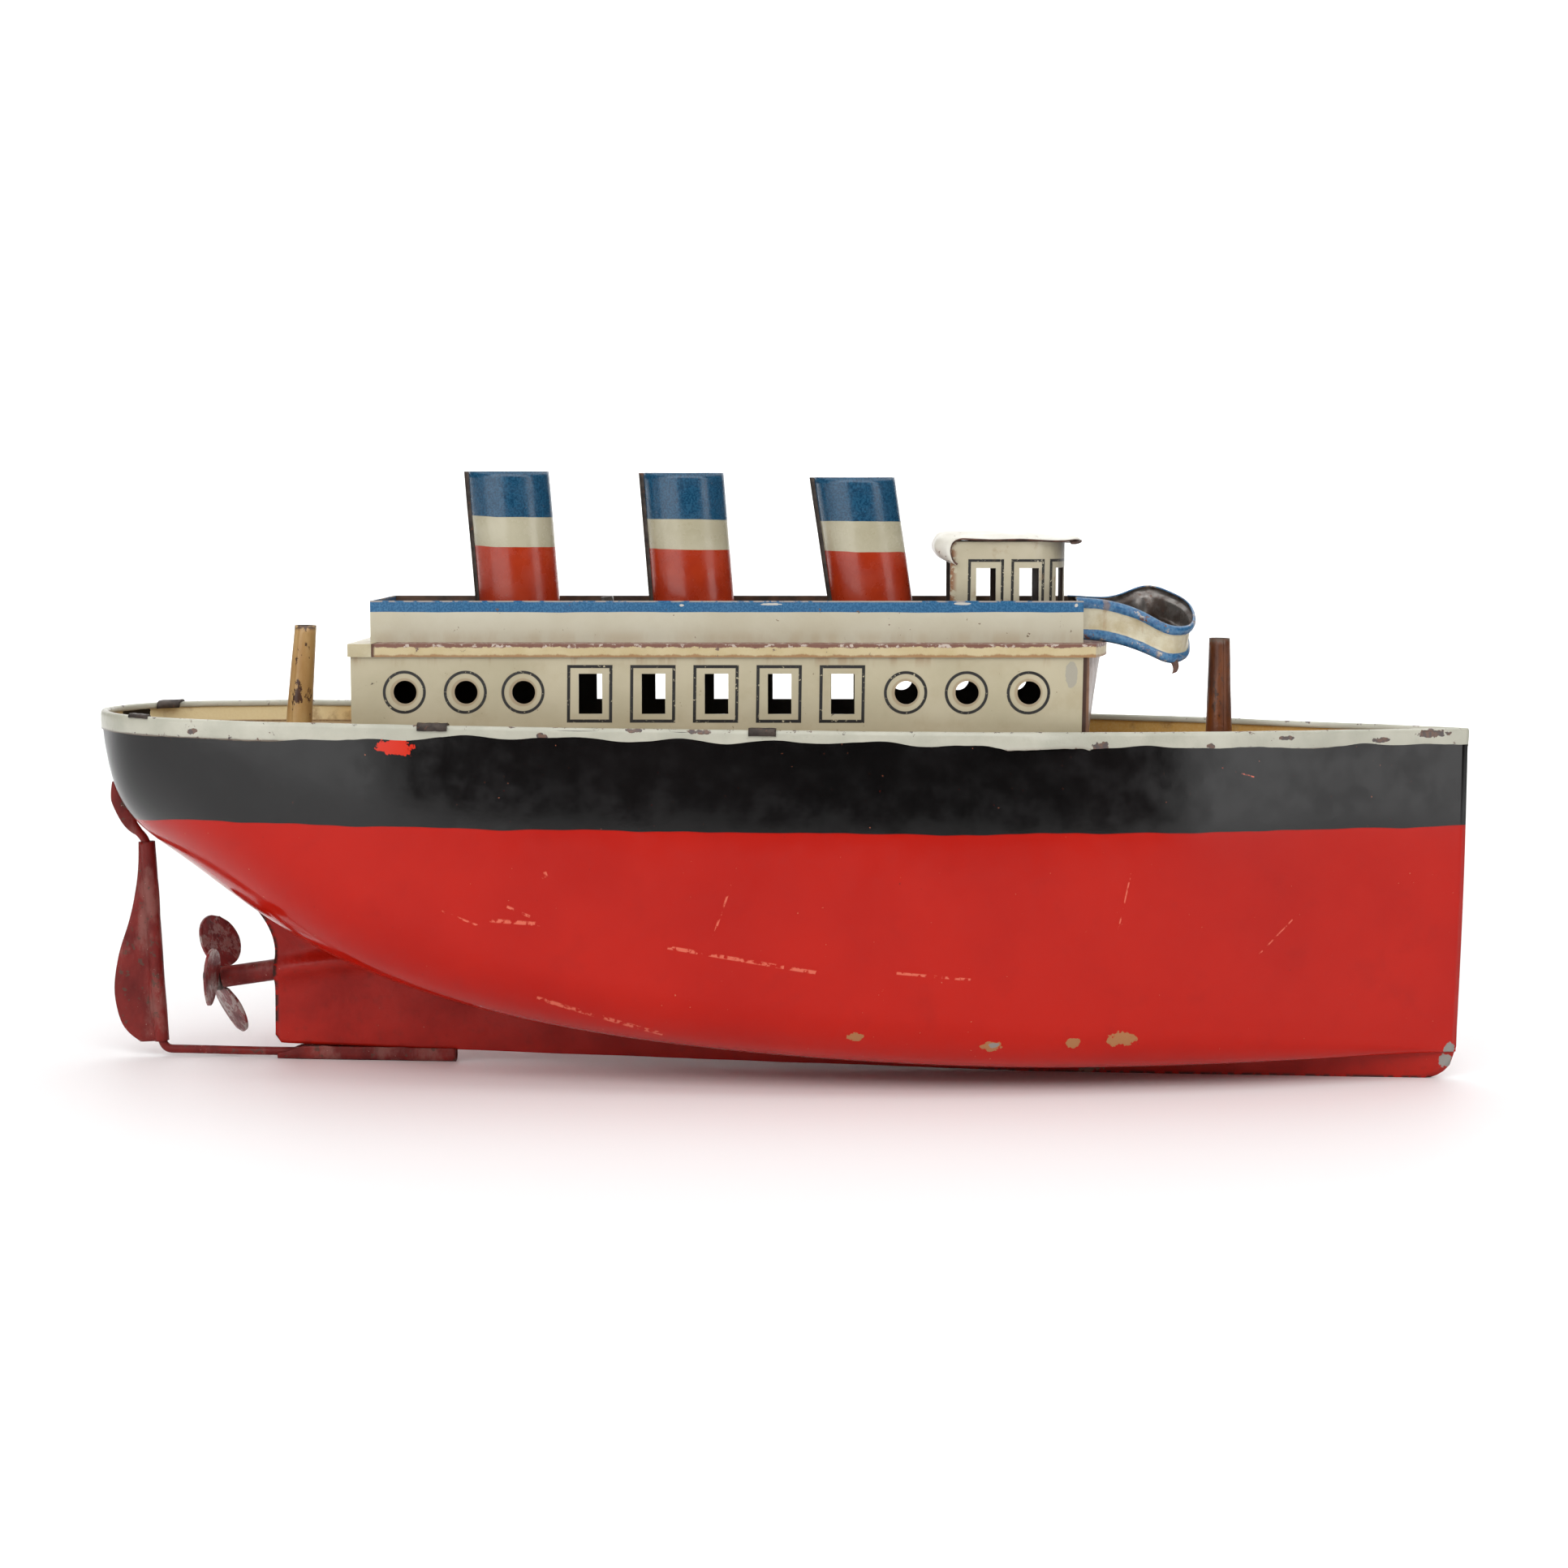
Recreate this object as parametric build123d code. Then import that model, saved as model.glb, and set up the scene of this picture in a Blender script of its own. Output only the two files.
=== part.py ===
from build123d import *
import math
import os

# A clockwork tinplate ocean liner. Millimetres; +X to the bow, +Y to port, +Z up.
# The origin is on the ground under the middle of the hull.

# --- hull ---
HALF_LENGTH = 125.0
RIM_Z = 64.4
SHEET = 0.5                # hull plating
SIDE_CROWN = 1.2           # how far the upright sides belly out
# x, half breadth at the rim, bottom height, bilge width, bilge height
HULL_LINES = [
    (-124.6, 3.6, 60.6, 3.2, 3.2),
    (-122.6, 8.8, 51.6, 8.3, 10.0),
    (-117.8, 15.6, 43.7, 14.8, 17.0),
    (-109.5, 21.2, 37.9, 19.5, 22.0),
    (-98.0, 25.3, 30.4, 21.0, 24.0),
    (-84.0, 27.9, 22.9, 19.0, 21.0),
    (-66.0, 29.1, 16.3, 16.0, 17.0),
    (-42.0, 29.6, 10.7, 13.5, 14.0),
    (-14.0, 29.5, 7.0, 12.5, 12.5),
    (14.0, 28.3, 4.9, 11.5, 11.5),
    (40.0, 25.4, 3.9, 10.0, 10.0),
    (64.0, 20.6, 3.8, 8.0, 8.0),
    (86.0, 14.6, 4.1, 5.8, 5.8),
    (104.0, 8.0, 4.5, 3.6, 3.6),
    (118.0, 2.9, 4.9, 1.5, 1.5),
    (124.0, 1.0, 5.0, 0.5, 0.5),
]
KEEL_HALF = 0.5            # each flange of the seamed keel
KEEL_FLAT_X = 45.0         # aft of here the keel's foot rises
SKEG_X = -93.5
SKEG_FOOT_Z = 2.9
STEM_RADIUS = 6.0

# --- deck and rim ---
DECK_Z = 60.8
DECK_SHEET = 0.4
BAND_SHEET = 0.35
BAND_FOOT_Z = 61.6
BAND_TOP_Z = RIM_Z + 0.4
TAB_LENGTH = 4.8
TAB_XS = (-61.5, -3.0)

# --- superstructure, level heights before its trim ---
TRIM = 0.8                 # degrees, bow up
TRIM_Z = 79.3
HOUSE_AFT_X = -76.2
HOUSE_FRONT_X = 54.0
HOUSE_FOOT_Z = 58.0        # the walls run on below the deck and are trimmed to it
HOUSE_FOOT_BOW = 0.3       # how far the front wall bulges: it rakes forward as it rises
HOUSE_TOP_BOW = 3.8
HOUSE_HALF = 19.0
HOUSE_TOP_Z = 78.8
HOUSE_SHEET = 0.5
PORT_Z = 70.75
PORT_R = 2.05
PORT_XS = (-66.6, -55.8, -45.6, 21.9, 32.6, 43.5)
WINDOW_XS = tuple(-33.8 + 11.13 * step for step in range(5))
WINDOW_WIDTH = 4.15
WINDOW_FOOT_Z = 66.95
WINDOW_HEIGHT = 7.1
BOAT_DECK_AFT_X = -72.4
BOAT_DECK_FRONT_X = 55.1
BOAT_DECK_BOW = 3.5
BOAT_DECK_TOP_Z = 79.3
FLANGE_HEIGHT = 2.3
TRAY_AFT_X = -73.5
TRAY_FRONT_X = 53.4
TRAY_HALF = 13.6
TRAY_TOP_Z = 86.7
TRAY_SHEET = 0.4
TRAY_FLOOR_Z = BOAT_DECK_TOP_Z + TRAY_SHEET

FUNNEL_LENGTH = 14.2
FUNNEL_WIDTH = 11.0
FUNNEL_FIN = 0.7
# name: x at the tray's rim, rake in degrees, top height
FUNNELS = {
    "funnel_aft": (-48.3, 4.4, 109.2),
    "funnel_mid": (-16.5, 4.4, 108.8),
    "funnel_fore": (15.6, 8.4, 108.3),
}

BRIDGE_AFT_X = 29.9
BRIDGE_FRONT_X = 51.0
BRIDGE_HALF = 9.5
BRIDGE_TOP_Z = 97.1
BRIDGE_SHOULDER_X = 43.5   # the straight sides end here and the oval front begins
BRIDGE_SHEET = 0.5
BRIDGE_WINDOW_WIDTH = 3.5
BRIDGE_WINDOW_HEIGHT = 8.0
BRIDGE_WINDOW_TOP_Z = 92.4
BRIDGE_WINDOW_XS = (36.3, 44.0)
BRIDGE_WINDOW_TURNS = (-38, 0, 38)
ROOF_AFT_X = 27.0
ROOF_HALF = 10.3
ROOF_NOSE = 9.2            # from the shoulder to the roof's front edge
ROOF_SHEET = 0.5
ROOF_FLAP = 4.0

# the bulwark round the forecastle, a band sprung out of true
SCOOP_AFT = (58.4, 0, 80.6)
SCOOP_HEIGHT = 7.2
SCOOP_SHEET = 0.4
SCOOP_PITCH = 18.0
SCOOP_ROLL = 6.0
SCOOP_WAIST = 5.0
SCOOP_HALF = 11.6
SCOOP_REACH = 16.5

MAST_SHEET = 0.4
MAST_SEAM = 0.35
# name: x at the deck, lean in degrees, radius at the foot and top, top height
MASTS = {
    "mast_aft": (-89.1, 4.0, 2.5, 2.05, 80.5),
    "mast_fore": (79.7, -1.2, 2.5, 1.95, 80.6),
}

# --- propeller line: a shaft rising to the bow ---
SHAFT_X = -103.3
SHAFT_Z = 15.0
SHAFT_RISE = 9.2
SHAFT_R = 1.0
TUBE_R = 1.95
RUN_GAP = 0.04             # radial running clearance
TUBE_LENGTH = 36.0
PROP_PITCH = 28.0
BLADE_REACH = 12.3
BLADE_WIDTH = 11.4
BLADE_SHEET = 0.5
BLADE_ROOT_R = 1.6
BLADE_U = -1.0
BLADE_TURNS = (-30, 90, 210)
BOSS_R = 2.4
BOSS_AFT_U = -2.2
BOSS_LENGTH = 2.0
NUT_R = 2.1
NUT_LENGTH = 1.4
SHAFT_AFT_U = -3.0

# --- clockwork, in the shaft's frame: u along it, w square to it ---
BIG_MODULE = 0.6
FINE_MODULE = 0.5
WHEEL_TEETH = 48
SECOND_TEETH = 36
CROWN_TEETH = 36
PINION_TEETH = 12
GREAT_U = 81.4
SECOND_U = GREAT_U - BIG_MODULE * (WHEEL_TEETH + PINION_TEETH) / 2
THIRD_U = SECOND_U - FINE_MODULE * (SECOND_TEETH + PINION_TEETH) / 2
CROWN_R = FINE_MODULE * CROWN_TEETH / 2
SHAFT_PINION_U = THIRD_U - CROWN_R
PLATE = 1.0
LOWER_W = -4.8             # top face of the lower plate
UPPER_W = 14.0             # lower face of the upper plate
PLATE_HALF = 13.5
PLATE_AFT_U = THIRD_U - 7.0
PLATE_FORE_U = GREAT_U + 17.0
PILLAR_R = 1.5
ARBOR_R = 1.0
GREAT_ARBOR_R = 1.5

# --- rudder ---
WIRE_R = 0.8
WIRE_Z = 1.32
WIRE_FORE_X = -60.5
RUDDER_FOOT_X = -114.8
RUDDER_TOP_X = -117.1
RUDDER_TOP_Z = 40.3
RUDDER_FOOT_Z = 2.9
BARREL_R = 1.4
RUDDER_SHEET = 0.6
SHOE_X = -76.7
SHOE_LENGTH = 32.4

os.makedirs("parts", exist_ok=True)


def save(name, shape):
    """Write one node."""
    shape.label = name
    export_step(shape, f"parts/{name}.step")


def slab(low, high, half_x=200, half_y=60):
    """Everything between two heights."""
    return Pos(0, 0, (low + high) / 2) * Box(2 * half_x, 2 * half_y, high - low)


def trimmed(shape):
    """Set a level piece of the superstructure to its bow-up trim."""
    return Pos(0, 0, TRIM_Z) * Rot(0, -TRIM, 0) * Pos(0, 0, -TRIM_Z) * shape


def on_shaft(shape):
    """Move a piece from the shaft's frame to the ship's."""
    return Pos(SHAFT_X, 0, SHAFT_Z) * Rot(0, -SHAFT_RISE, 0) * shape


def round_bar(radius, start, end, axis="w", u=0.0):
    """Cylinder in the shaft's frame, along w at u, or along the shaft."""
    bar = Pos(0, 0, (start + end) / 2) * Cylinder(radius, end - start)
    if axis == "u":
        return Rot(0, 90, 0) * bar
    return Pos(u, 0, 0) * bar


def side_plate(points, thickness, y=0.0):
    """Flat plate drawn on the ship's side view, centred on y."""
    outline = Plane.XZ * make_face(Polyline(*points, close=True))
    return Pos(0, y, 0) * extrude(outline, thickness / 2, both=True)


# --- hull -----------------------------------------------------------------
def hull_section(x, half, bottom, bilge_width, bilge_height, top):
    """One frame of the hull: flat floor, elliptical bilge, upright side."""
    flat = half - bilge_width
    knee = bottom + bilge_height
    crown = SIDE_CROWN * (top - knee) / RIM_Z
    outline = Wire([
        Line((-flat, bottom), (flat, bottom)).edge(),
        EllipticalCenterArc((flat, knee), bilge_width, bilge_height, 270, arc_size=90).edge(),
        ThreePointArc((half, knee), (half + crown, (knee + top) / 2), (half, top)).edge(),
        Line((half, top), (-half, top)).edge(),
        ThreePointArc((-half, top), (-half - crown, (knee + top) / 2), (-half, knee)).edge(),
        EllipticalCenterArc((-flat, knee), bilge_width, bilge_height, 180, arc_size=90).edge(),
    ])
    return Plane(origin=(x, 0, 0), x_dir=(0, 1, 0), z_dir=(1, 0, 0)) * outline


def hull_form(inset, top=RIM_Z + 3):
    """The solid inside the hull's outer face, drawn in by inset all round."""
    wires = []
    for x, half, bottom, bilge_width, bilge_height in HULL_LINES:
        if half - inset < 0.25:
            continue
        x_in = x + inset if x == HULL_LINES[0][0] else x
        x_in = x - inset if x == HULL_LINES[-1][0] else x_in
        bilge_in = max(bilge_width - inset, 0.15)
        rise_in = max(bilge_height - inset, 0.15)
        wires.append(hull_section(x_in, half - inset, bottom + inset, bilge_in, rise_in, top))
    return Solid.make_loft(wires, ruled=False)


def keel_plate():
    """Both flanges of the keel, skeg and stem as one plate."""
    outline = Polyline(
        (SKEG_X, 20), (SKEG_X, SKEG_FOOT_Z), (KEEL_FLAT_X, 0),
        (HALF_LENGTH, 0), (HALF_LENGTH, RIM_Z), (112, RIM_Z), (112, 25),
        (-60, 25), (-92, 38), (-97.5, 28), close=True,
    )
    face = make_face(outline)
    corners = face.vertices()
    stem = corners.sort_by_distance((HALF_LENGTH, 0, 0))[0]
    face = fillet(stem, STEM_RADIUS)
    heel = face.vertices().sort_by_distance((SKEG_X, SKEG_FOOT_Z, 0))[0]
    face = fillet(heel, 1.5)
    return extrude(Plane.XZ * face, KEEL_HALF, both=True)


outer = hull_form(0)
inner = hull_form(SHEET)
deck_space = hull_form(SHEET + DECK_SHEET)
band_space = hull_form(SHEET + DECK_SHEET + BAND_SHEET)
band_form = hull_form(-BAND_SHEET)

tube_bore = on_shaft(round_bar(TUBE_R + 0.03, -6, TUBE_LENGTH + 4, "u"))
channel = on_shaft(round_bar(TUBE_R + 0.6, 10.2, 32, "u"))
hull = (outer & slab(0, RIM_Z)) + keel_plate() + channel - inner - tube_bore
for side, name in ((-1, "hull_starboard"), (1, "hull_port")):
    save(name, hull & (Pos(0, 30 * side, 30) * Box(300, 60, 80)))

# --- deck, rim band and tabs --------------------------------------------------
winding_hole = on_shaft(round_bar(2.2, 20, 80, u=GREAT_U))
deck = (inner & slab(DECK_Z - DECK_SHEET, RIM_Z)) - (deck_space & slab(DECK_Z, 90))
save("main_deck", deck - winding_hole)

rim_band = (band_form & slab(BAND_FOOT_Z, BAND_TOP_Z)) - (outer & slab(0, RIM_Z)) - keel_plate()
rim_band = rim_band - band_space
inner_leg = (deck_space & slab(BAND_FOOT_Z + 0.8, BAND_TOP_Z)) - band_space
save("rim_band", rim_band + inner_leg)


def rim_tab(x, side):
    """A tongue of the deck folded out over the rim and down."""
    hood = Pos(x, 0, BAND_TOP_Z) * Box(TAB_LENGTH, 80, 5)
    cover = hull_form(-2 * BAND_SHEET) & slab(BAND_TOP_Z - 2.2, BAND_TOP_Z + 0.3) & hood
    cover = cover - (band_form & slab(0, BAND_TOP_Z))
    cover = cover - hull_form(2.6)
    return cover & (Pos(x, 30 * side, RIM_Z) * Box(20, 60, 20))


tabs = [rim_tab(x, side) for x in TAB_XS for side in (-1, 1)]
save("deck_tabs", Compound(children=[tab.solid() for tab in tabs]))


# --- superstructure --------------------------------------------------------
def house_outline(aft_x, front_x, half, bow):
    """Plan of a deckhouse: straight sides and a bowed front."""
    return make_face([
        Line((front_x, half), (aft_x, half)).edge(),
        Line((aft_x, half), (aft_x, -half)).edge(),
        Line((aft_x, -half), (front_x, -half)).edge(),
        ThreePointArc((front_x, -half), (front_x + bow, 0), (front_x, half)).edge(),
    ])


def prism(face, low, high):
    """Stand a plan outline between two heights."""
    return Pos(0, 0, low) * extrude(face, high - low)


def house_shell(inset):
    """The deckhouse's volume, inset all round."""
    plans = []
    for height, bow in ((HOUSE_FOOT_Z, HOUSE_FOOT_BOW), (HOUSE_TOP_Z, HOUSE_TOP_BOW)):
        plan = house_outline(HOUSE_AFT_X + inset, HOUSE_FRONT_X - inset, HOUSE_HALF - inset, bow)
        plans.append(Pos(0, 0, height) * plan)
    return loft(plans, ruled=True)


walls = house_shell(0) - house_shell(HOUSE_SHEET)
for x in PORT_XS:
    walls -= Pos(x, 0, PORT_Z) * Rot(90, 0, 0) * Cylinder(PORT_R, 60)
for x in WINDOW_XS:
    walls -= Pos(x, 0, WINDOW_FOOT_Z + WINDOW_HEIGHT / 2) * Box(WINDOW_WIDTH, 60, WINDOW_HEIGHT)
walls = trimmed(walls) - slab(40, DECK_Z)
house_joint = Pos(HOUSE_FRONT_X - 1 + 30, 0, 70) * Box(60, 60, 60)
save("deckhouse", walls - house_joint)
save("deckhouse_front", walls & house_joint)

deck_over = house_outline(BOAT_DECK_AFT_X, BOAT_DECK_FRONT_X, HOUSE_HALF + 0.6, BOAT_DECK_BOW)
deck_over = prism(deck_over, BOAT_DECK_TOP_Z - FLANGE_HEIGHT, BOAT_DECK_TOP_Z)
deck_under = house_outline(BOAT_DECK_AFT_X - 1, BOAT_DECK_FRONT_X - 0.5, HOUSE_HALF + 0.1, BOAT_DECK_BOW)
deck_under = prism(deck_under, BOAT_DECK_TOP_Z - FLANGE_HEIGHT, HOUSE_TOP_Z)
save("boat_deck", trimmed(deck_over - deck_under) - winding_hole)

cap_mid = (HOUSE_AFT_X + BOAT_DECK_AFT_X) / 2
cap_length = BOAT_DECK_AFT_X - HOUSE_AFT_X
cap = Pos(cap_mid - 0.2, 0, BOAT_DECK_TOP_Z - 1.15) * Box(cap_length + 0.4, 2 * HOUSE_HALF + 1.4, 2.3)
cap_room = Pos(cap_mid + 1, 0, HOUSE_TOP_Z - 10) * Box(cap_length + 2.1, 2 * HOUSE_HALF + 0.1, 20)
save("aft_cap", trimmed(cap - cap_room))


def u_trough(aft_x, front_x, half, sheet, floor, top):
    """Open-topped, open-fronted trough of folded sheet."""
    body = Pos((aft_x + front_x) / 2, 0, (floor + top) / 2) * Box(front_x - aft_x, 2 * half, top - floor)
    room = Pos((aft_x + front_x) / 2 + sheet, 0, (floor + top) / 2 + sheet)
    return body - room * Box(front_x - aft_x, 2 * (half - sheet), top - floor)


tray = u_trough(TRAY_AFT_X, TRAY_FRONT_X, TRAY_HALF, TRAY_SHEET, BOAT_DECK_TOP_Z, TRAY_TOP_Z)
save("promenade_tray", trimmed(tray) - winding_hole)


def funnel(x, rake, top):
    """Oval rolled tube with its seam fin on the aft edge."""
    height = top - TRAY_TOP_Z
    drop = 12
    oval = Ellipse(FUNNEL_LENGTH / 2, FUNNEL_WIDTH / 2)
    bore = Ellipse(FUNNEL_LENGTH / 2 - 0.4, FUNNEL_WIDTH / 2 - 0.4)
    tube = extrude(oval - bore, height + drop)
    fin = Pos(-FUNNEL_LENGTH / 2 - FUNNEL_FIN / 2 + 0.2, 0, (height + drop) / 2)
    tube += fin * Box(FUNNEL_FIN + 0.4, 0.8, height + drop)
    raked = Pos(x, 0, TRAY_TOP_Z) * Rot(0, -rake, 0) * Pos(0, 0, -drop) * tube
    return raked - slab(40, TRAY_FLOOR_Z)


for name, (x, rake, top) in FUNNELS.items():
    save(name, trimmed(funnel(x, rake, top)))


def bridge_plan(inset, aft_x=BRIDGE_AFT_X):
    """Wheelhouse plan: straight sides and a half-oval front."""
    half = BRIDGE_HALF - inset
    shoulder = BRIDGE_SHOULDER_X
    nose = BRIDGE_FRONT_X - inset - shoulder
    return make_face([
        Line((shoulder, half), (aft_x, half)).edge(),
        Line((aft_x, half), (aft_x, -half)).edge(),
        Line((aft_x, -half), (shoulder, -half)).edge(),
        EllipticalCenterArc((shoulder, 0), nose, half, 270, arc_size=180).edge(),
    ])


bridge = prism(bridge_plan(0), TRAY_FLOOR_Z, BRIDGE_TOP_Z)
bridge -= prism(bridge_plan(BRIDGE_SHEET, BRIDGE_AFT_X - 5), TRAY_FLOOR_Z, BRIDGE_TOP_Z)
window_z = BRIDGE_WINDOW_TOP_Z - BRIDGE_WINDOW_HEIGHT / 2
for x in BRIDGE_WINDOW_XS:
    bridge -= Pos(x, 0, window_z) * Box(BRIDGE_WINDOW_WIDTH, 30, BRIDGE_WINDOW_HEIGHT)
for turn in BRIDGE_WINDOW_TURNS:
    ahead = Pos(BRIDGE_SHOULDER_X, 0, window_z) * Rot(0, 0, turn) * Pos(8, 0, 0)
    bridge -= ahead * Box(8, BRIDGE_WINDOW_WIDTH, BRIDGE_WINDOW_HEIGHT)
save("wheelhouse", trimmed(bridge))

roof = prism(make_face([
    Line((BRIDGE_SHOULDER_X, ROOF_HALF), (ROOF_AFT_X, ROOF_HALF)).edge(),
    Line((ROOF_AFT_X, ROOF_HALF), (ROOF_AFT_X, -ROOF_HALF)).edge(),
    Line((ROOF_AFT_X, -ROOF_HALF), (BRIDGE_SHOULDER_X, -ROOF_HALF)).edge(),
    EllipticalCenterArc((BRIDGE_SHOULDER_X, 0), ROOF_NOSE, ROOF_HALF, 270, arc_size=180).edge(),
]), BRIDGE_TOP_Z, BRIDGE_TOP_Z + ROOF_SHEET)
flap = Pos(ROOF_AFT_X, 0, BRIDGE_TOP_Z - 1.5) * Rot(0, 12, 0) * Box(ROOF_SHEET, 2 * ROOF_HALF, ROOF_FLAP)
save("wheelhouse_roof", trimmed(roof + flap))


def scoop():
    """Bulwark round the forecastle: a sheet band bent to a keyhole and sprung down."""
    def ring(offset):
        waist = SCOOP_WAIST + offset
        side = SCOOP_HALF + offset
        reach = SCOOP_REACH + offset
        bend = FilletPolyline(
            (0, -waist), (10, -side), (reach, -6), (reach, 6), (10, side), (0, waist),
            radius=[3.0, 5.0, 5.0, 3.0], close=False)
        return make_face(bend.edges() + ShapeList([Line((0, waist), (0, -waist)).edge()]))
    loop = extrude(ring(SCOOP_SHEET / 2), SCOOP_HEIGHT)
    loop -= Pos(-0.5, 0, 0) * extrude(ring(-SCOOP_SHEET / 2), SCOOP_HEIGHT)
    loop = Pos(*SCOOP_AFT) * Rot(-SCOOP_ROLL, SCOOP_PITCH, 0) * loop
    legs = [
        Pos(56.35, side * 9.3, 84.0) * Rot(0, 0, side * -55) * Box(9.6, SCOOP_SHEET, SCOOP_HEIGHT)
        for side in (-1, 1)
    ]
    return loop + legs


save("front_bulwark", scoop())


def mast(x, lean, foot_r, top_r, top):
    """Rolled, tapered, open tube with its seam left open."""
    height = top - DECK_Z + 1
    shell = Cone(foot_r, top_r, height) - Cone(foot_r - MAST_SHEET, top_r - MAST_SHEET, height)
    shell -= Pos(0, 3, 0) * Box(MAST_SEAM, 6, height + 2)
    upright = Pos(x, 0, DECK_Z - 1) * Rot(0, lean, 0) * Pos(0, 0, height / 2) * shell
    return upright - slab(40, DECK_Z)


for name, sizes in MASTS.items():
    save(name, mast(*sizes))


# --- gears -------------------------------------------------------------------
def gear_plan(module, teeth, addendum, dedendum, backlash, phase=0.0):
    """Spur gear outline with involute flanks, 20 degrees, thinned for play."""
    pitch_r = module * teeth / 2
    base_r = pitch_r * math.cos(math.radians(20))
    tip_r = pitch_r + addendum * module
    root_r = pitch_r - dedendum * module
    half_pitch_angle = math.pi / (2 * teeth) - backlash / (4 * pitch_r)

    def flank(radius):
        """Half the tooth's angle at a radius."""
        def involute(r):
            slope = math.acos(min(1.0, base_r / r))
            return math.tan(slope) - slope
        return half_pitch_angle + involute(pitch_r) - involute(max(radius, base_r))

    start_r = max(root_r, base_r + 0.01)
    radii = [start_r + step * (tip_r - start_r) / 3 for step in range(4)]
    if root_r < start_r - 0.02:
        radii.insert(0, root_r)
    points = []
    for tooth in range(teeth):
        middle = math.radians(phase) + 2 * math.pi * tooth / teeth
        for radius in radii:
            points.append((radius, middle - flank(radius)))
        for radius in reversed(radii):
            points.append((radius, middle + flank(radius)))
    plan = [(r * math.cos(angle), r * math.sin(angle)) for r, angle in points]
    return make_face(Polyline(*plan, close=True))


WHEEL_TOOTH = {"addendum": 0.6, "dedendum": 1.2, "backlash": 0.12}
PINION_TOOTH = {"addendum": 0.8, "dedendum": 1.1, "backlash": 0.12}


def wheel(module, teeth, bore, u, low, high, phase, tooth=WHEEL_TOOTH):
    """Gear about a w arbor at u."""
    plan = gear_plan(module, teeth, phase=phase, **tooth) - Circle(bore)
    return Pos(u, 0, 0) * prism(plan, low, high)


def spoked(blank, u, inner_r, outer_r, low, high):
    """Cut three kidney windows, as a clock wheel is crossed out."""
    for turn in (30, 150, 270):
        slot = Circle(outer_r) - Circle(inner_r)
        for edge in (-1, 1):
            slot &= Rot(0, 0, turn + edge * 42) * Pos(0, -edge * 30) * Rectangle(80, 60)
        slot &= Rot(0, 0, turn) * Pos(20, 0) * Rectangle(40, 60)
        blank -= Pos(u, 0, 0) * prism(slot, low - 1, high + 1)
    return blank


# great wheel
ratchet_low = 10.6
ratchet_high = 11.6
great = wheel(BIG_MODULE, WHEEL_TEETH, GREAT_ARBOR_R + 0.01, GREAT_U, 9.0, 10.4, 0)
great = spoked(great, GREAT_U, 4.5, 11.2, 9.0, 10.4)
save("great_wheel", on_shaft(great))
arbor_top = 59.3
arbor = round_bar(GREAT_ARBOR_R, LOWER_W - PLATE - 0.6, arbor_top - 6, u=GREAT_U)
arbor += Pos(GREAT_U, 0, arbor_top - 3) * Box(2.1, 2.1, 6)
save("winding_arbor", on_shaft(arbor))


def ratchet_plan(radius, depth, teeth):
    """Saw-toothed disc."""
    points = []
    for tooth in range(teeth):
        start = 2 * math.pi * tooth / teeth
        points.append((radius * math.cos(start), radius * math.sin(start)))
        points.append(((radius - depth) * math.cos(start), (radius - depth) * math.sin(start)))
    return make_face(Polyline(*points, close=True))


ratchet = prism(ratchet_plan(5.2, 1.0, 14) - Circle(GREAT_ARBOR_R + 0.01), ratchet_low, ratchet_high)
save("ratchet_wheel", on_shaft(Pos(GREAT_U, 0, 0) * ratchet))
click_plan = make_face(Polyline((0, -1.4), (8.2, -0.9), (8.4, 0.3), (0, 1.4), close=True)) + Circle(1.4)
click = Pos(GREAT_U, 0, 0) * Rot(0, 0, 90) * Pos(11.8, 1.2, 0) * Rot(0, 0, 118)
save("click", on_shaft(click * prism(click_plan, ratchet_low, ratchet_high)))
strip = Rot(0, 0, 20) * Pos(11.4, 0, ratchet_low + 0.5) * Rot(0, 0, 90) * Box(9.0, 0.3, 1.0)
save("click_spring", on_shaft(Pos(GREAT_U, 0, 0) * strip))


def mainspring():
    """Flat coiled strip standing between the lower plate and the great wheel."""
    turns = 6
    steps = 18
    first, last, strip_half = 2.6, 12.2, 0.2
    edge = []
    for step in range(turns * steps + 1):
        radius = first + (last - first) * step / (turns * steps)
        angle = 2 * math.pi * step / steps
        edge.append((radius, angle))
    outside = [((r + strip_half) * math.cos(a), (r + strip_half) * math.sin(a)) for r, a in edge]
    inside = [((r - strip_half) * math.cos(a), (r - strip_half) * math.sin(a)) for r, a in reversed(edge)]
    return prism(make_face(Polyline(*outside, *inside, close=True)), LOWER_W + 0.6, 5.0)


save("mainspring", on_shaft(Pos(GREAT_U, 0, 0) * mainspring()))

# second arbor
pinion_phase = 180 / PINION_TEETH
second = wheel(FINE_MODULE, SECOND_TEETH, ARBOR_R + 0.01, SECOND_U, 6.0, 7.2, 0)
save("second_wheel", on_shaft(spoked(second, SECOND_U, 3.4, 6.9, 6.0, 7.2)))
save("second_pinion", on_shaft(
    wheel(BIG_MODULE, PINION_TEETH, ARBOR_R + 0.01, SECOND_U, 8.2, 11.4, pinion_phase, PINION_TOOTH)))
pivot_low = LOWER_W - PLATE - 0.3
pivot_high = UPPER_W + PLATE + 0.3
save("second_arbor", on_shaft(round_bar(ARBOR_R, pivot_low, pivot_high, u=SECOND_U)))

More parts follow.
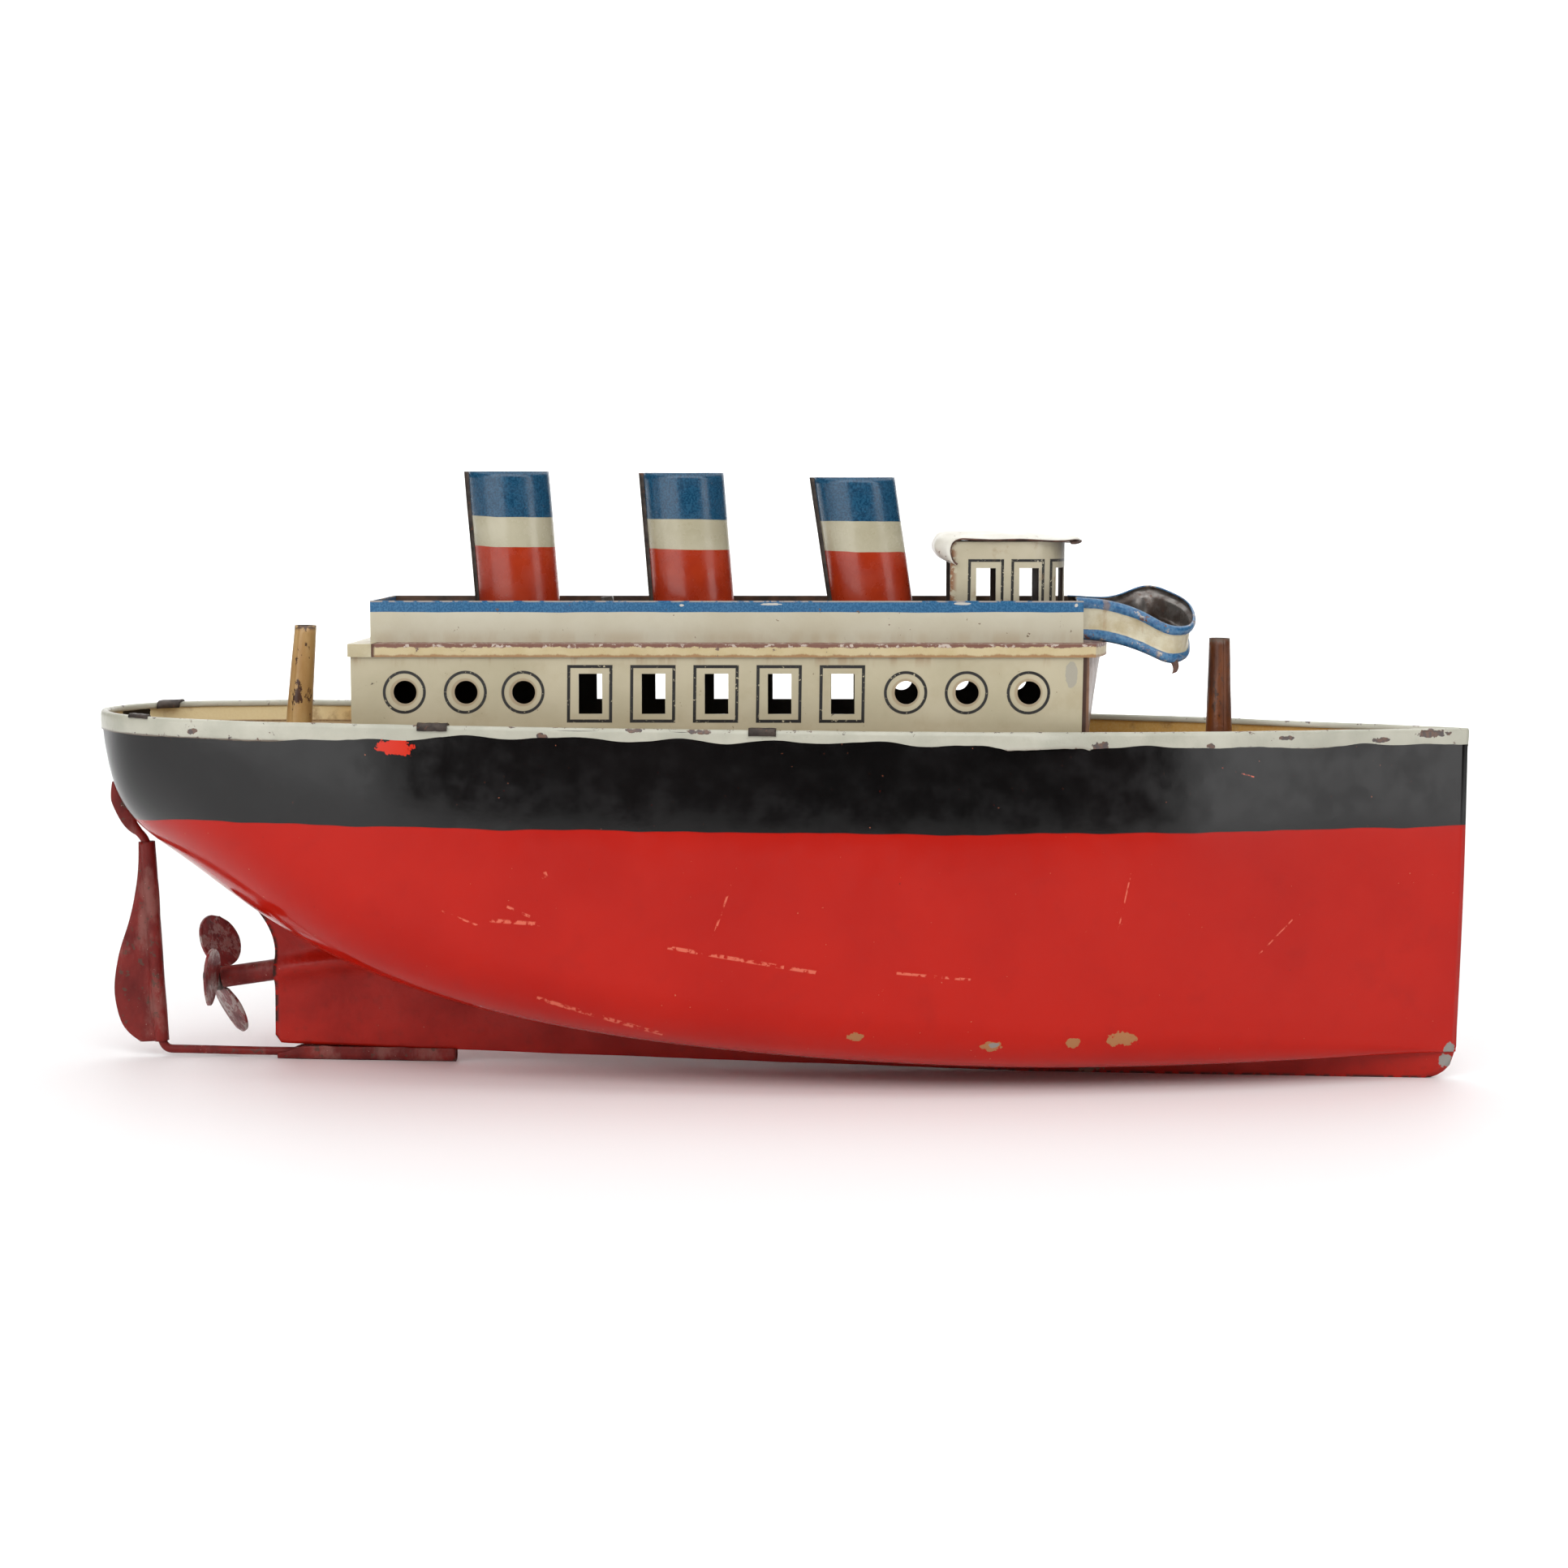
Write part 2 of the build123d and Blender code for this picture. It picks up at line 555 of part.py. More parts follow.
# third arbor with the crown wheel
save("third_pinion", on_shaft(
    wheel(FINE_MODULE, PINION_TEETH, ARBOR_R + 0.01, THIRD_U, 5.2, 8.2, pinion_phase, PINION_TOOTH)))
save("third_arbor", on_shaft(round_bar(ARBOR_R, pivot_low, pivot_high, u=THIRD_U)))
crown = round_bar(CROWN_R + 0.75, 3.7, 4.7, u=0) - round_bar(ARBOR_R + 0.01, 3, 6, u=0)
tooth_plan = Polyline((-0.34, 3.75), (-0.2, 2.6), (0.2, 2.6), (0.34, 3.75), close=True)
tooth_face = Plane.YZ * make_face(tooth_plan)
tooth = Pos(CROWN_R - 0.75, 0, 0) * extrude(tooth_face, 1.5)
for step in range(CROWN_TEETH):
    crown += Rot(0, 0, 360 * step / CROWN_TEETH) * tooth
save("crown_wheel", on_shaft(Pos(THIRD_U, 0, 0) * crown))

# --- frame of the clockwork ---------------------------------------------------
PILLARS = [(u, v) for u in (THIRD_U - 4.5, GREAT_U + 14.3) for v in (-11.0, 11.0)]


def motor_plate(low):
    """One of the two flat plates that carry the arbors."""
    mid = (PLATE_AFT_U + PLATE_FORE_U) / 2
    plate = Pos(mid, 0, low + PLATE / 2) * Box(PLATE_FORE_U - PLATE_AFT_U, 2 * PLATE_HALF, PLATE)
    for u, radius in ((GREAT_U, GREAT_ARBOR_R), (SECOND_U, ARBOR_R), (THIRD_U, ARBOR_R)):
        plate -= round_bar(radius + RUN_GAP, low - 1, low + PLATE + 1, u=u)
    return plate


save("lower_plate", on_shaft(motor_plate(LOWER_W - PLATE)))
save("upper_plate", on_shaft(motor_plate(UPPER_W)))
pillars = [Pos(0, v, 0) * round_bar(PILLAR_R, LOWER_W, UPPER_W, u=u) for u, v in PILLARS]
save("plate_pillars", on_shaft(Compound(children=pillars)))
feet = []
for u in (PLATE_AFT_U + 3, PLATE_FORE_U - 3):
    blank = on_shaft(Pos(u, 0, LOWER_W - PLATE - 10) * Box(1.0, 22, 20))
    feet.append((blank & inner).solid())
save("motor_feet", Compound(children=feet))

# --- propeller line -------------------------------------------------------------
tube = round_bar(TUBE_R, 0, TUBE_LENGTH, "u") - round_bar(SHAFT_R + RUN_GAP, -1, TUBE_LENGTH + 1, "u")
save("stern_tube", on_shaft(tube))
save("propeller_shaft", on_shaft(round_bar(SHAFT_R, SHAFT_AFT_U, SHAFT_PINION_U + 2.2, "u")))
pinion_plan = gear_plan(FINE_MODULE, PINION_TEETH, phase=90 + pinion_phase, **PINION_TOOTH)
pinion_plan -= Circle(SHAFT_R + 0.01)
shaft_pinion = Rot(0, 90, 0) * Rot(0, 0, 90) * extrude(pinion_plan, 3.0)
save("shaft_pinion", on_shaft(Pos(SHAFT_PINION_U - 1.5, 0, 0) * shaft_pinion))


def propeller():
    """Three broad pitched leaves on a short boss."""
    boss = round_bar(BOSS_R, BOSS_AFT_U, BOSS_AFT_U + BOSS_LENGTH, "u")
    boss -= round_bar(SHAFT_R + 0.01, -5, 1, "u")
    leaf_length = BLADE_REACH - BLADE_ROOT_R
    outline = Pos(0, BLADE_ROOT_R + leaf_length / 2) * Ellipse(BLADE_WIDTH / 2, leaf_length / 2)
    leaf = Rot(90, 0, 0) * Rot(0, 90 - PROP_PITCH, 0) * extrude(outline, BLADE_SHEET / 2, both=True)
    for turn in BLADE_TURNS:
        boss += Pos(BLADE_U, 0, 0) * Rot(turn, 0, 0) * leaf - round_bar(2.0, -9, 9, "u")
    return boss


save("propeller", on_shaft(propeller()))
nut = round_bar(NUT_R, BOSS_AFT_U - NUT_LENGTH, BOSS_AFT_U, "u")
nut -= round_bar(SHAFT_R + 0.01, SHAFT_AFT_U, BOSS_AFT_U + 1, "u")
save("propeller_nut", on_shaft(nut))

# --- rudder and its wire ----------------------------------------------------------
lean = (RUDDER_TOP_X - RUDDER_FOOT_X) / (RUDDER_TOP_Z - RUDDER_FOOT_Z)
bend_x = RUDDER_FOOT_X - lean * (RUDDER_FOOT_Z - WIRE_Z)
route = Plane.XZ * FilletPolyline(
    (WIRE_FORE_X, WIRE_Z), (bend_x, WIRE_Z), (RUDDER_TOP_X, RUDDER_TOP_Z), radius=1.6)
wire = sweep(Plane(origin=route @ 0, z_dir=route % 0) * Circle(WIRE_R), path=route)
strap = side_plate([
    (-116.4, 40.0), (-117.9, 40.0), (-120.5, 43.6), (-122.9, 48.4), (-123.6, 50.6),
    (-121.0, 52.0), (-117.0, 45.0)], 3.2)
save("rudder_wire", wire + (strap - outer - band_form))

shoe = Pos(SHOE_X, 0, 1.7) * Box(SHOE_LENGTH, 2.7, 3.2)
shoe_room = Pos(SHOE_X, 0, 2.4) * Box(SHOE_LENGTH + 2, 1.7, 3.8)
save("keel_shoe", shoe - shoe_room)

rudder_lean = math.degrees(math.atan(-lean))
barrel_length = math.hypot(RUDDER_TOP_Z - RUDDER_FOOT_Z - 0.9, RUDDER_TOP_X - RUDDER_FOOT_X)
barrel = Pos(0, 0, barrel_length / 2) * Cylinder(BARREL_R, barrel_length)
blade = side_plate([
    (0, 0), (-3.5, 0), (-7.0, 3.2), (-8.6, 9.0), (-8.2, 15.0), (-6.3, 20.5),
    (-4.2, 26.0), (-2.4, 33.0), (-1.6, barrel_length), (0, barrel_length)], RUDDER_SHEET)
rudder = barrel + blade - Cylinder(WIRE_R + 0.06, 200)
save("rudder", Pos(RUDDER_FOOT_X, 0, RUDDER_FOOT_Z) * Rot(0, -rudder_lean, 0) * rudder)
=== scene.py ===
import bpy
import math
import numpy as np
from mathutils import Matrix, Vector, noise


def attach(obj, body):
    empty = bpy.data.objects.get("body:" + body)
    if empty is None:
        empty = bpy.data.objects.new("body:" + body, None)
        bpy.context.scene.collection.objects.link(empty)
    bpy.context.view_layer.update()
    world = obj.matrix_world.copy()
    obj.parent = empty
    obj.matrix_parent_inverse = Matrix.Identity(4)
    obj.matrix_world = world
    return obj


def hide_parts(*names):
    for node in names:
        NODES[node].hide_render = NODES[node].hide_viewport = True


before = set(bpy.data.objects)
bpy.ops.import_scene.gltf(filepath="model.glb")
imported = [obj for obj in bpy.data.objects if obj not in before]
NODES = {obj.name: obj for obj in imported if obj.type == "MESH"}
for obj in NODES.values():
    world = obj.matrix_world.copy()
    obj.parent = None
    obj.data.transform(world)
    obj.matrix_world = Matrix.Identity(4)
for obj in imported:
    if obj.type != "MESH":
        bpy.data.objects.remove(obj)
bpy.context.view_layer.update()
MM = 0.001

# Every length below is in millimetres, in the row's own frame: +X to the bow, +Z up.
RIM_Z = 64.4
DECK_Z = 60.8
TRIM = math.radians(0.8)       # the superstructure sits bow up
TRIM_Z = 79.3
WATERLINE_Z = 47.1
SHAFT_RISE = math.radians(9.2)
SHAFT_X, SHAFT_Z = -103.3, 15.0

# --- camera -----------------------------------------------------------------
EYE = Vector((9.4, -510.0, 104.8))
VIEW_YAW = math.radians(1.014)
VIEW_PITCH = math.radians(5.84)
VIEW_ROLL = math.radians(0.785)


def add_camera():
    """Long lens, a little above deck height, square to the ship's side."""
    forward = Vector((-math.sin(VIEW_YAW) * math.cos(VIEW_PITCH),
                      math.cos(VIEW_YAW) * math.cos(VIEW_PITCH), -math.sin(VIEW_PITCH)))
    level = Vector((math.cos(VIEW_YAW), math.sin(VIEW_YAW), 0))
    upright = level.cross(forward)
    right = level * math.cos(VIEW_ROLL) + upright * math.sin(VIEW_ROLL)
    up = upright * math.cos(VIEW_ROLL) - level * math.sin(VIEW_ROLL)
    data = bpy.data.cameras.new("view")
    data.lens = 64.1
    data.sensor_width = 36
    data.clip_start = 0.01
    camera = bpy.data.objects.new("view", data)
    camera.matrix_world = Matrix((
        (right.x, up.x, -forward.x, EYE.x * MM), (right.y, up.y, -forward.y, EYE.y * MM),
        (right.z, up.z, -forward.z, EYE.z * MM), (0, 0, 0, 1)))
    bpy.context.collection.objects.link(camera)
    bpy.context.scene.camera = camera


add_camera()


# --- paint: a small kit for procedural materials ------------------------------------
SHADE = 0.84                    # paint under this light is this much darker than it looks


def linear(red, green, blue):
    """Linear colour from display values of 0 to 255."""
    def one(value):
        value /= 255
        return SHADE * (value / 12.92 if value <= 0.04045 else ((value + 0.055) / 1.055) ** 2.4)
    return (one(red), one(green), one(blue), 1.0)


class Paint:
    """A principled material whose colour, roughness and bump are built up in layers."""

    def __init__(self, name, roughness=0.4, metallic=0.0, coat=0.0, specular=0.5, level=False):
        self.material = bpy.data.materials.new(name)
        self.material.use_nodes = True
        self.tree = self.material.node_tree
        self.shader = self.tree.nodes["Principled BSDF"]
        self.shader.inputs["Roughness"].default_value = roughness
        self.shader.inputs["Metallic"].default_value = metallic
        self.shader.inputs["Coat Weight"].default_value = coat
        self.shader.inputs["Coat Roughness"].default_value = 0.06
        self.shader.inputs["Specular IOR Level"].default_value = specular
        where = self.node("ShaderNodeTexCoord").outputs["Object"]
        self.place = self.vector("SCALE", where, scale=1000.0)
        split = self.node("ShaderNodeSeparateXYZ")
        self.link(self.place, split.inputs[0])
        self.x, self.y, self.z = split.outputs
        if level:
            lift = self.math("MULTIPLY", self.x, -math.tan(TRIM))
            self.z = self.math("ADD", self.z, lift)

    def node(self, kind):
        return self.tree.nodes.new(kind)

    def link(self, value, socket):
        if isinstance(value, bpy.types.NodeSocket):
            self.tree.links.new(value, socket)
        else:
            socket.default_value = value

    def vector(self, operation, first, scale):
        node = self.node("ShaderNodeVectorMath")
        node.operation = operation
        self.link(first, node.inputs[0])
        node.inputs["Scale"].default_value = scale
        return node.outputs[0]

    def math(self, operation, first, second=0.0, third=0.0):
        node = self.node("ShaderNodeMath")
        node.operation = operation
        for value, socket in zip((first, second, third), node.inputs):
            self.link(value, socket)
        return node.outputs[0]

    def noise(self, scale, detail=3.0, stretch=(1, 1, 1), rough=0.55, shift=0.0):
        """Noise in features per millimetre."""
        mapping = self.node("ShaderNodeMapping")
        self.link(self.place, mapping.inputs["Vector"])
        mapping.inputs["Scale"].default_value = stretch
        mapping.inputs["Location"].default_value = (shift, shift * 0.7, shift * 1.3)
        node = self.node("ShaderNodeTexNoise")
        self.link(mapping.outputs[0], node.inputs["Vector"])
        node.inputs["Scale"].default_value = scale
        node.inputs["Detail"].default_value = detail
        node.inputs["Roughness"].default_value = rough
        return node.outputs["Fac"]

    def ramp(self, value, low, high, out_low=0.0, out_high=1.0):
        """Smooth step from low to high."""
        node = self.node("ShaderNodeMapRange")
        node.interpolation_type = "SMOOTHSTEP"
        for socket, amount in zip(node.inputs, (value, low, high, out_low, out_high)):
            self.link(amount, socket)
        return node.outputs[0]

    def both(self, *masks):
        result = masks[0]
        for mask in masks[1:]:
            result = self.math("MULTIPLY", result, mask)
        return result

    def either(self, *masks):
        result = masks[0]
        for mask in masks[1:]:
            result = self.math("MAXIMUM", result, mask)
        return result

    def inverse(self, mask):
        return self.math("SUBTRACT", 1.0, mask)

    def within(self, value, low, high, soft=0.1):
        """One between low and high."""
        rise = self.ramp(value, low - soft, low + soft)
        fall = self.ramp(value, high - soft, high + soft, 1.0, 0.0)
        return self.both(rise, fall)

    def mix(self, mask, first, second):
        node = self.node("ShaderNodeMix")
        node.data_type = "RGBA"
        self.link(mask, node.inputs["Factor"])
        self.link(first, node.inputs["A"])
        self.link(second, node.inputs["B"])
        return node.outputs["Result"]

    def spot(self, x, z, wide, tall, side=None, ragged=0.9):
        """A ragged oval mark on the side view, on one side of the ship."""
        across = self.math("DIVIDE", self.math("SUBTRACT", self.x, x), wide)
        above = self.math("DIVIDE", self.math("SUBTRACT", self.z, z), tall)
        squares = self.math("ADD", self.math("MULTIPLY", across, across),
                            self.math("MULTIPLY", above, above))
        wobble = self.math("MULTIPLY", self.math("SUBTRACT", self.noise(0.9, 4), 0.5), 4 * ragged)
        mask = self.ramp(self.math("ADD", squares, wobble), 0.85, 1.1, 1.0, 0.0)
        if side:
            mask = self.both(mask, self.math("GREATER_THAN", self.math("MULTIPLY", self.y, side), 0))
        return mask

    def scratch(self, start, end, width, side=-1):
        """A thin broken line between two points of the side view."""
        (x0, z0), (x1, z1) = start, end
        length = math.hypot(x1 - x0, z1 - z0)
        ux, uz = (x1 - x0) / length, (z1 - z0) / length
        dx = self.math("SUBTRACT", self.x, x0)
        dz = self.math("SUBTRACT", self.z, z0)
        along = self.math("ADD", self.math("MULTIPLY", dx, ux), self.math("MULTIPLY", dz, uz))
        off = self.math("ABSOLUTE", self.math(
            "SUBTRACT", self.math("MULTIPLY", dz, ux), self.math("MULTIPLY", dx, uz)))
        broken = self.ramp(self.noise(0.8, 5, shift=x0), 0.46, 0.56)
        near = self.ramp(off, width * 0.5, width, 1.0, 0.0)
        facing = self.math("GREATER_THAN", self.math("MULTIPLY", self.y, side), 0)
        return self.both(near, self.within(along, 0, length), broken, facing)

    def finish(self, colour, roughness=None, bump=None, bump_mm=0.05, metal=None):
        self.link(colour, self.shader.inputs["Base Color"])
        if roughness is not None:
            self.link(roughness, self.shader.inputs["Roughness"])
        if metal is not None:
            self.link(metal, self.shader.inputs["Metallic"])
        if bump is not None:
            node = self.node("ShaderNodeBump")
            node.inputs["Distance"].default_value = bump_mm * MM
            self.link(bump, node.inputs["Height"])
            self.link(node.outputs[0], self.shader.inputs["Normal"])
        return self.material


BLACK = linear(15, 14, 14)
BLUE = linear(32, 94, 140)
TIN = linear(150, 146, 140)
RUST = linear(112, 62, 34)
# dark brown used as painted shade in the crease between deck and wall
CREASE_SHADE = linear(74, 58, 44)
INSIDE = linear(62, 52, 43)


def chipping(paint, scale=0.45, amount=0.62, detail=5):
    """Mask of flaked spots; a lower amount flakes more."""
    return paint.ramp(paint.noise(scale, detail, rough=0.65), amount, amount + 0.03)


def hull_enamel():
    paint = Paint("hull_enamel", roughness=0.15, specular=0.42)
    wave = paint.math("MULTIPLY", paint.math("SUBTRACT", paint.noise(0.05, 2, (1, 0, 0)), 0.5), 1.6)
    dip = paint.ramp(paint.x, -122, -96, 2.1, 0.0)
    edge = paint.math("ADD", paint.math("ADD", paint.z, wave), dip)
    black_part = paint.ramp(edge, WATERLINE_Z - 0.12, WATERLINE_Z + 0.12)
    tone = paint.noise(0.03, 4)
    red = paint.mix(paint.ramp(tone, 0.3, 0.7), linear(182, 18, 2), linear(194, 25, 6))
    mottled = paint.ramp(paint.noise(0.12, 6, shift=4), 0.55, 0.75, 0.0, 0.35)
    red = paint.mix(mottled, red, linear(168, 20, 8))
    black = paint.mix(paint.ramp(tone, 0.35, 0.65), BLACK, linear(20, 18, 18))
    colour = paint.mix(black_part, red, black)
    # the red patch where the black flaked off under the rim
    colour = paint.mix(paint.spot(-66.6, 61.0, 3.2, 1.2, -1, 1.5), colour, linear(216, 48, 26))
    # light scratches
    marks = [((-19, 26.8), (7, 22.6), 0.42), ((21, 22.6), (34, 21.4), 0.3), ((-11, 29), (-8, 38), 0.22),
             ((-42, 17), (-20, 10.5), 0.5), ((-60, 33), (-52, 30), 0.22), ((60, 30), (62, 40), 0.16),
             ((86, 25), (92, 31), 0.16), ((78, 58.5), (84, 56.8), 0.14),
             ((-50, 31), (-41, 30.5), 0.45), ((-47, 33.5), (-43, 31.8), 0.3), ((-41, 39), (-40, 39.4), 0.6)]
    for start, end, width in marks:
        colour = paint.mix(paint.scratch(start, end, width), colour, linear(226, 108, 84))
    # bare and ochre spots low on the hull
    for x, z, wide, tall in ((38, 9.2, 1.8, 0.9), (61, 10.2, 2.6, 1.3), (52.5, 9.6, 1.2, 0.9), (14, 11, 1.5, 0.8)):
        colour = paint.mix(paint.spot(x, z, wide, tall, -1), colour, linear(176, 122, 78))
    bare = paint.either(paint.spot(38.5, 9.4, 0.9, 0.5, -1), paint.spot(123.6, 5.4, 1.0, 1.4, -1, 0.8))
    colour = paint.mix(bare, colour, TIN)
    # fine specks
    specks = paint.ramp(paint.noise(1.4, 2, shift=11), 0.76, 0.79)
    colour = paint.mix(paint.math("MULTIPLY", specks, 0.7), colour, linear(206, 120, 88))
    pits = paint.ramp(paint.noise(1.1, 2, shift=31), 0.77, 0.8)
    colour = paint.mix(paint.math("MULTIPLY", pits, 0.6), colour, linear(92, 22, 14))
    gloss = paint.ramp(black_part, 0.0, 1.0, 0.22, 0.42)
    paint.link(gloss, paint.shader.inputs["Specular IOR Level"])
    rough = paint.ramp(paint.noise(0.2, 5, shift=7), 0.3, 0.8, 0.1, 0.24)
    fine = paint.math("ADD", paint.noise(0.05, 2, shift=2), paint.math("MULTIPLY", paint.noise(1.6, 2), 0.04))
    return paint.finish(colour, rough, fine, 0.05)


def keel_paint():
    paint = Paint("keel_paint", roughness=0.4, specular=0.26)
    tone = paint.noise(0.09, 6)
    colour = paint.mix(paint.ramp(tone, 0.35, 0.7), linear(178, 28, 12), linear(156, 22, 10))
    dull = paint.ramp(paint.noise(0.5, 5, shift=9), 0.5, 0.75, 0.0, 0.4)
    colour = paint.mix(dull, colour, linear(124, 24, 15))
    rise = paint.math("DIVIDE", paint.math("MAXIMUM", paint.math("SUBTRACT", paint.z, 19.6), 0.0), 7.2)
    behind = paint.math("MINIMUM", paint.math("MULTIPLY", paint.math("MULTIPLY", rise, rise), 2.6), 3.4)
    edge = paint.ramp(paint.math("ADD", paint.x, behind), -93.2, -92.6, 1.0, 0.0)
    foot = paint.ramp(paint.z, 0.1, 0.7, 1.0, 0.0)
    worn = paint.both(paint.either(edge, foot), paint.ramp(paint.noise(0.8, 4), 0.4, 0.5))
    colour = paint.mix(worn, colour, linear(70, 36, 30))
    smudge = paint.spot(58, 2.0, 2.4, 2.2, -1, 0.9)
    colour = paint.mix(smudge, colour, linear(128, 88, 74))
    chip = paint.spot(123, 3.4, 1.2, 1.3, -1, 0.9)
    colour = paint.mix(chip, colour, TIN)
    specks = paint.ramp(paint.noise(1.3, 2, shift=3), 0.74, 0.78, 0.0, 0.7)
    colour = paint.mix(specks, colour, linear(196, 120, 100))
    rough = paint.ramp(tone, 0.3, 0.7, 0.3, 0.55)
    return paint.finish(colour, rough, paint.noise(0.5, 5), 0.12)


def matt_red():
    """Rudder, tube, wire and shoe: brushed-on dark red over tin."""
    paint = Paint("matt_red", roughness=0.5, specular=0.25)
    tone = paint.noise(0.25, 6, (1, 1, 0.5))
    colour = paint.mix(paint.ramp(tone, 0.3, 0.7), linear(130, 32, 26), linear(97, 20, 17))
    rubbed = paint.ramp(paint.noise(0.16, 6, (1, 1, 0.5), 0.65, 15), 0.5, 0.66, 0.0, 0.55)
    colour = paint.mix(rubbed, colour, linear(146, 98, 90))
    worn = paint.ramp(paint.noise(0.7, 6, shift=5), 0.6, 0.66)
    colour = paint.mix(paint.math("MULTIPLY", worn, 0.8), colour, linear(84, 60, 50))
    specks = paint.ramp(paint.noise(2.2, 2, shift=3), 0.72, 0.76)
    colour = paint.mix(specks, colour, linear(196, 152, 138))
    return paint.finish(colour, paint.ramp(tone, 0.3, 0.7, 0.35, 0.6), paint.noise(0.8, 5), 0.15)


def rim_cream():
    paint = Paint("rim_cream", roughness=0.35, coat=0.15)
    tone = paint.noise(0.12, 5)
    colour = paint.mix(paint.ramp(tone, 0.3, 0.7), linear(200, 198, 182), linear(182, 181, 165))
    low = paint.ramp(paint.z, 61.6, 62.5, 1.0, 0.0)
    top = paint.ramp(paint.z, 64.2, 65.0)
    edge = paint.either(low, top)
    flaked = paint.ramp(paint.math("ADD", paint.noise(0.6, 6, rough=0.75), paint.math("MULTIPLY", edge, 0.1)),
                        0.66, 0.68)
    bared = paint.mix(paint.ramp(paint.noise(1.1, 4, shift=6), 0.4, 0.6), linear(112, 84, 70), linear(82, 72, 70))
    colour = paint.mix(flaked, colour, bared)
    line = paint.ramp(paint.math("ADD", paint.z, paint.math("MULTIPLY", paint.noise(0.3, 3), 0.5)), 61.85, 62.1, 1, 0)
    colour = paint.mix(paint.math("MULTIPLY", line, 0.8), colour, linear(92, 70, 52))
    for x, z, wide, tall in ((56, 62.4, 1.6, 0.8), (-103, 62.8, 1.0, 0.5), (-41, 63.4, 0.9, 0.5),
                             (-14, 64.4, 2.4, 0.4), (-25, 64.5, 1.4, 0.4), (108, 63.0, 1.5, 0.5), (76, 62.4, 0.9, 0.4), (90, 63.6, 1.2, 0.4), (118, 64.0, 3.0, 0.7)):
        colour = paint.mix(paint.spot(x, z, wide, tall, -1, 1.2), colour, bared)
    return paint.finish(colour, paint.ramp(tone, 0.3, 0.7, 0.28, 0.45), paint.noise(0.4, 5), 0.2)


def deck_litho():
    paint = Paint("deck_litho", roughness=0.42)
    tone = paint.noise(0.08, 6)
    wall = paint.mix(paint.ramp(tone, 0.3, 0.7), linear(230, 188, 106), linear(222, 168, 84))
    # painted light: the wall is painted paler towards the stern, a painted highlight on its inner face
    wall = paint.mix(paint.ramp(paint.x, -92, -78, 1.0, 0.0), wall, linear(252, 234, 186))
    floor = paint.mix(paint.ramp(tone, 0.3, 0.7), linear(216, 178, 134), linear(204, 160, 118))
    colour = paint.mix(paint.ramp(paint.z, DECK_Z + 0.1, DECK_Z + 0.5), floor, wall)
    # painted shade: the crease where the deck floor meets its wall is darkened
    crease_shade = paint.within(paint.z, DECK_Z - 0.05, DECK_Z + 0.22, 0.08)
    colour = paint.mix(paint.math("MULTIPLY", crease_shade, 0.7), colour, CREASE_SHADE)
    stain = paint.ramp(paint.noise(0.2, 6, shift=8), 0.56, 0.72, 0.0, 0.6)
    colour = paint.mix(stain, colour, linear(150, 104, 62))
    grain = paint.ramp(paint.noise(2.4, 2), 0.35, 0.7, 0.0, 0.25)
    colour = paint.mix(grain, colour, linear(240, 216, 160))
    return paint.finish(colour, paint.ramp(tone, 0.3, 0.7, 0.35, 0.5), paint.noise(0.5, 4), 0.1)


PORTS = (-66.6, -55.8, -45.6, 21.9, 32.6, 43.5)
WINDOWS = tuple(-33.8 + 11.13 * step for step in range(5))


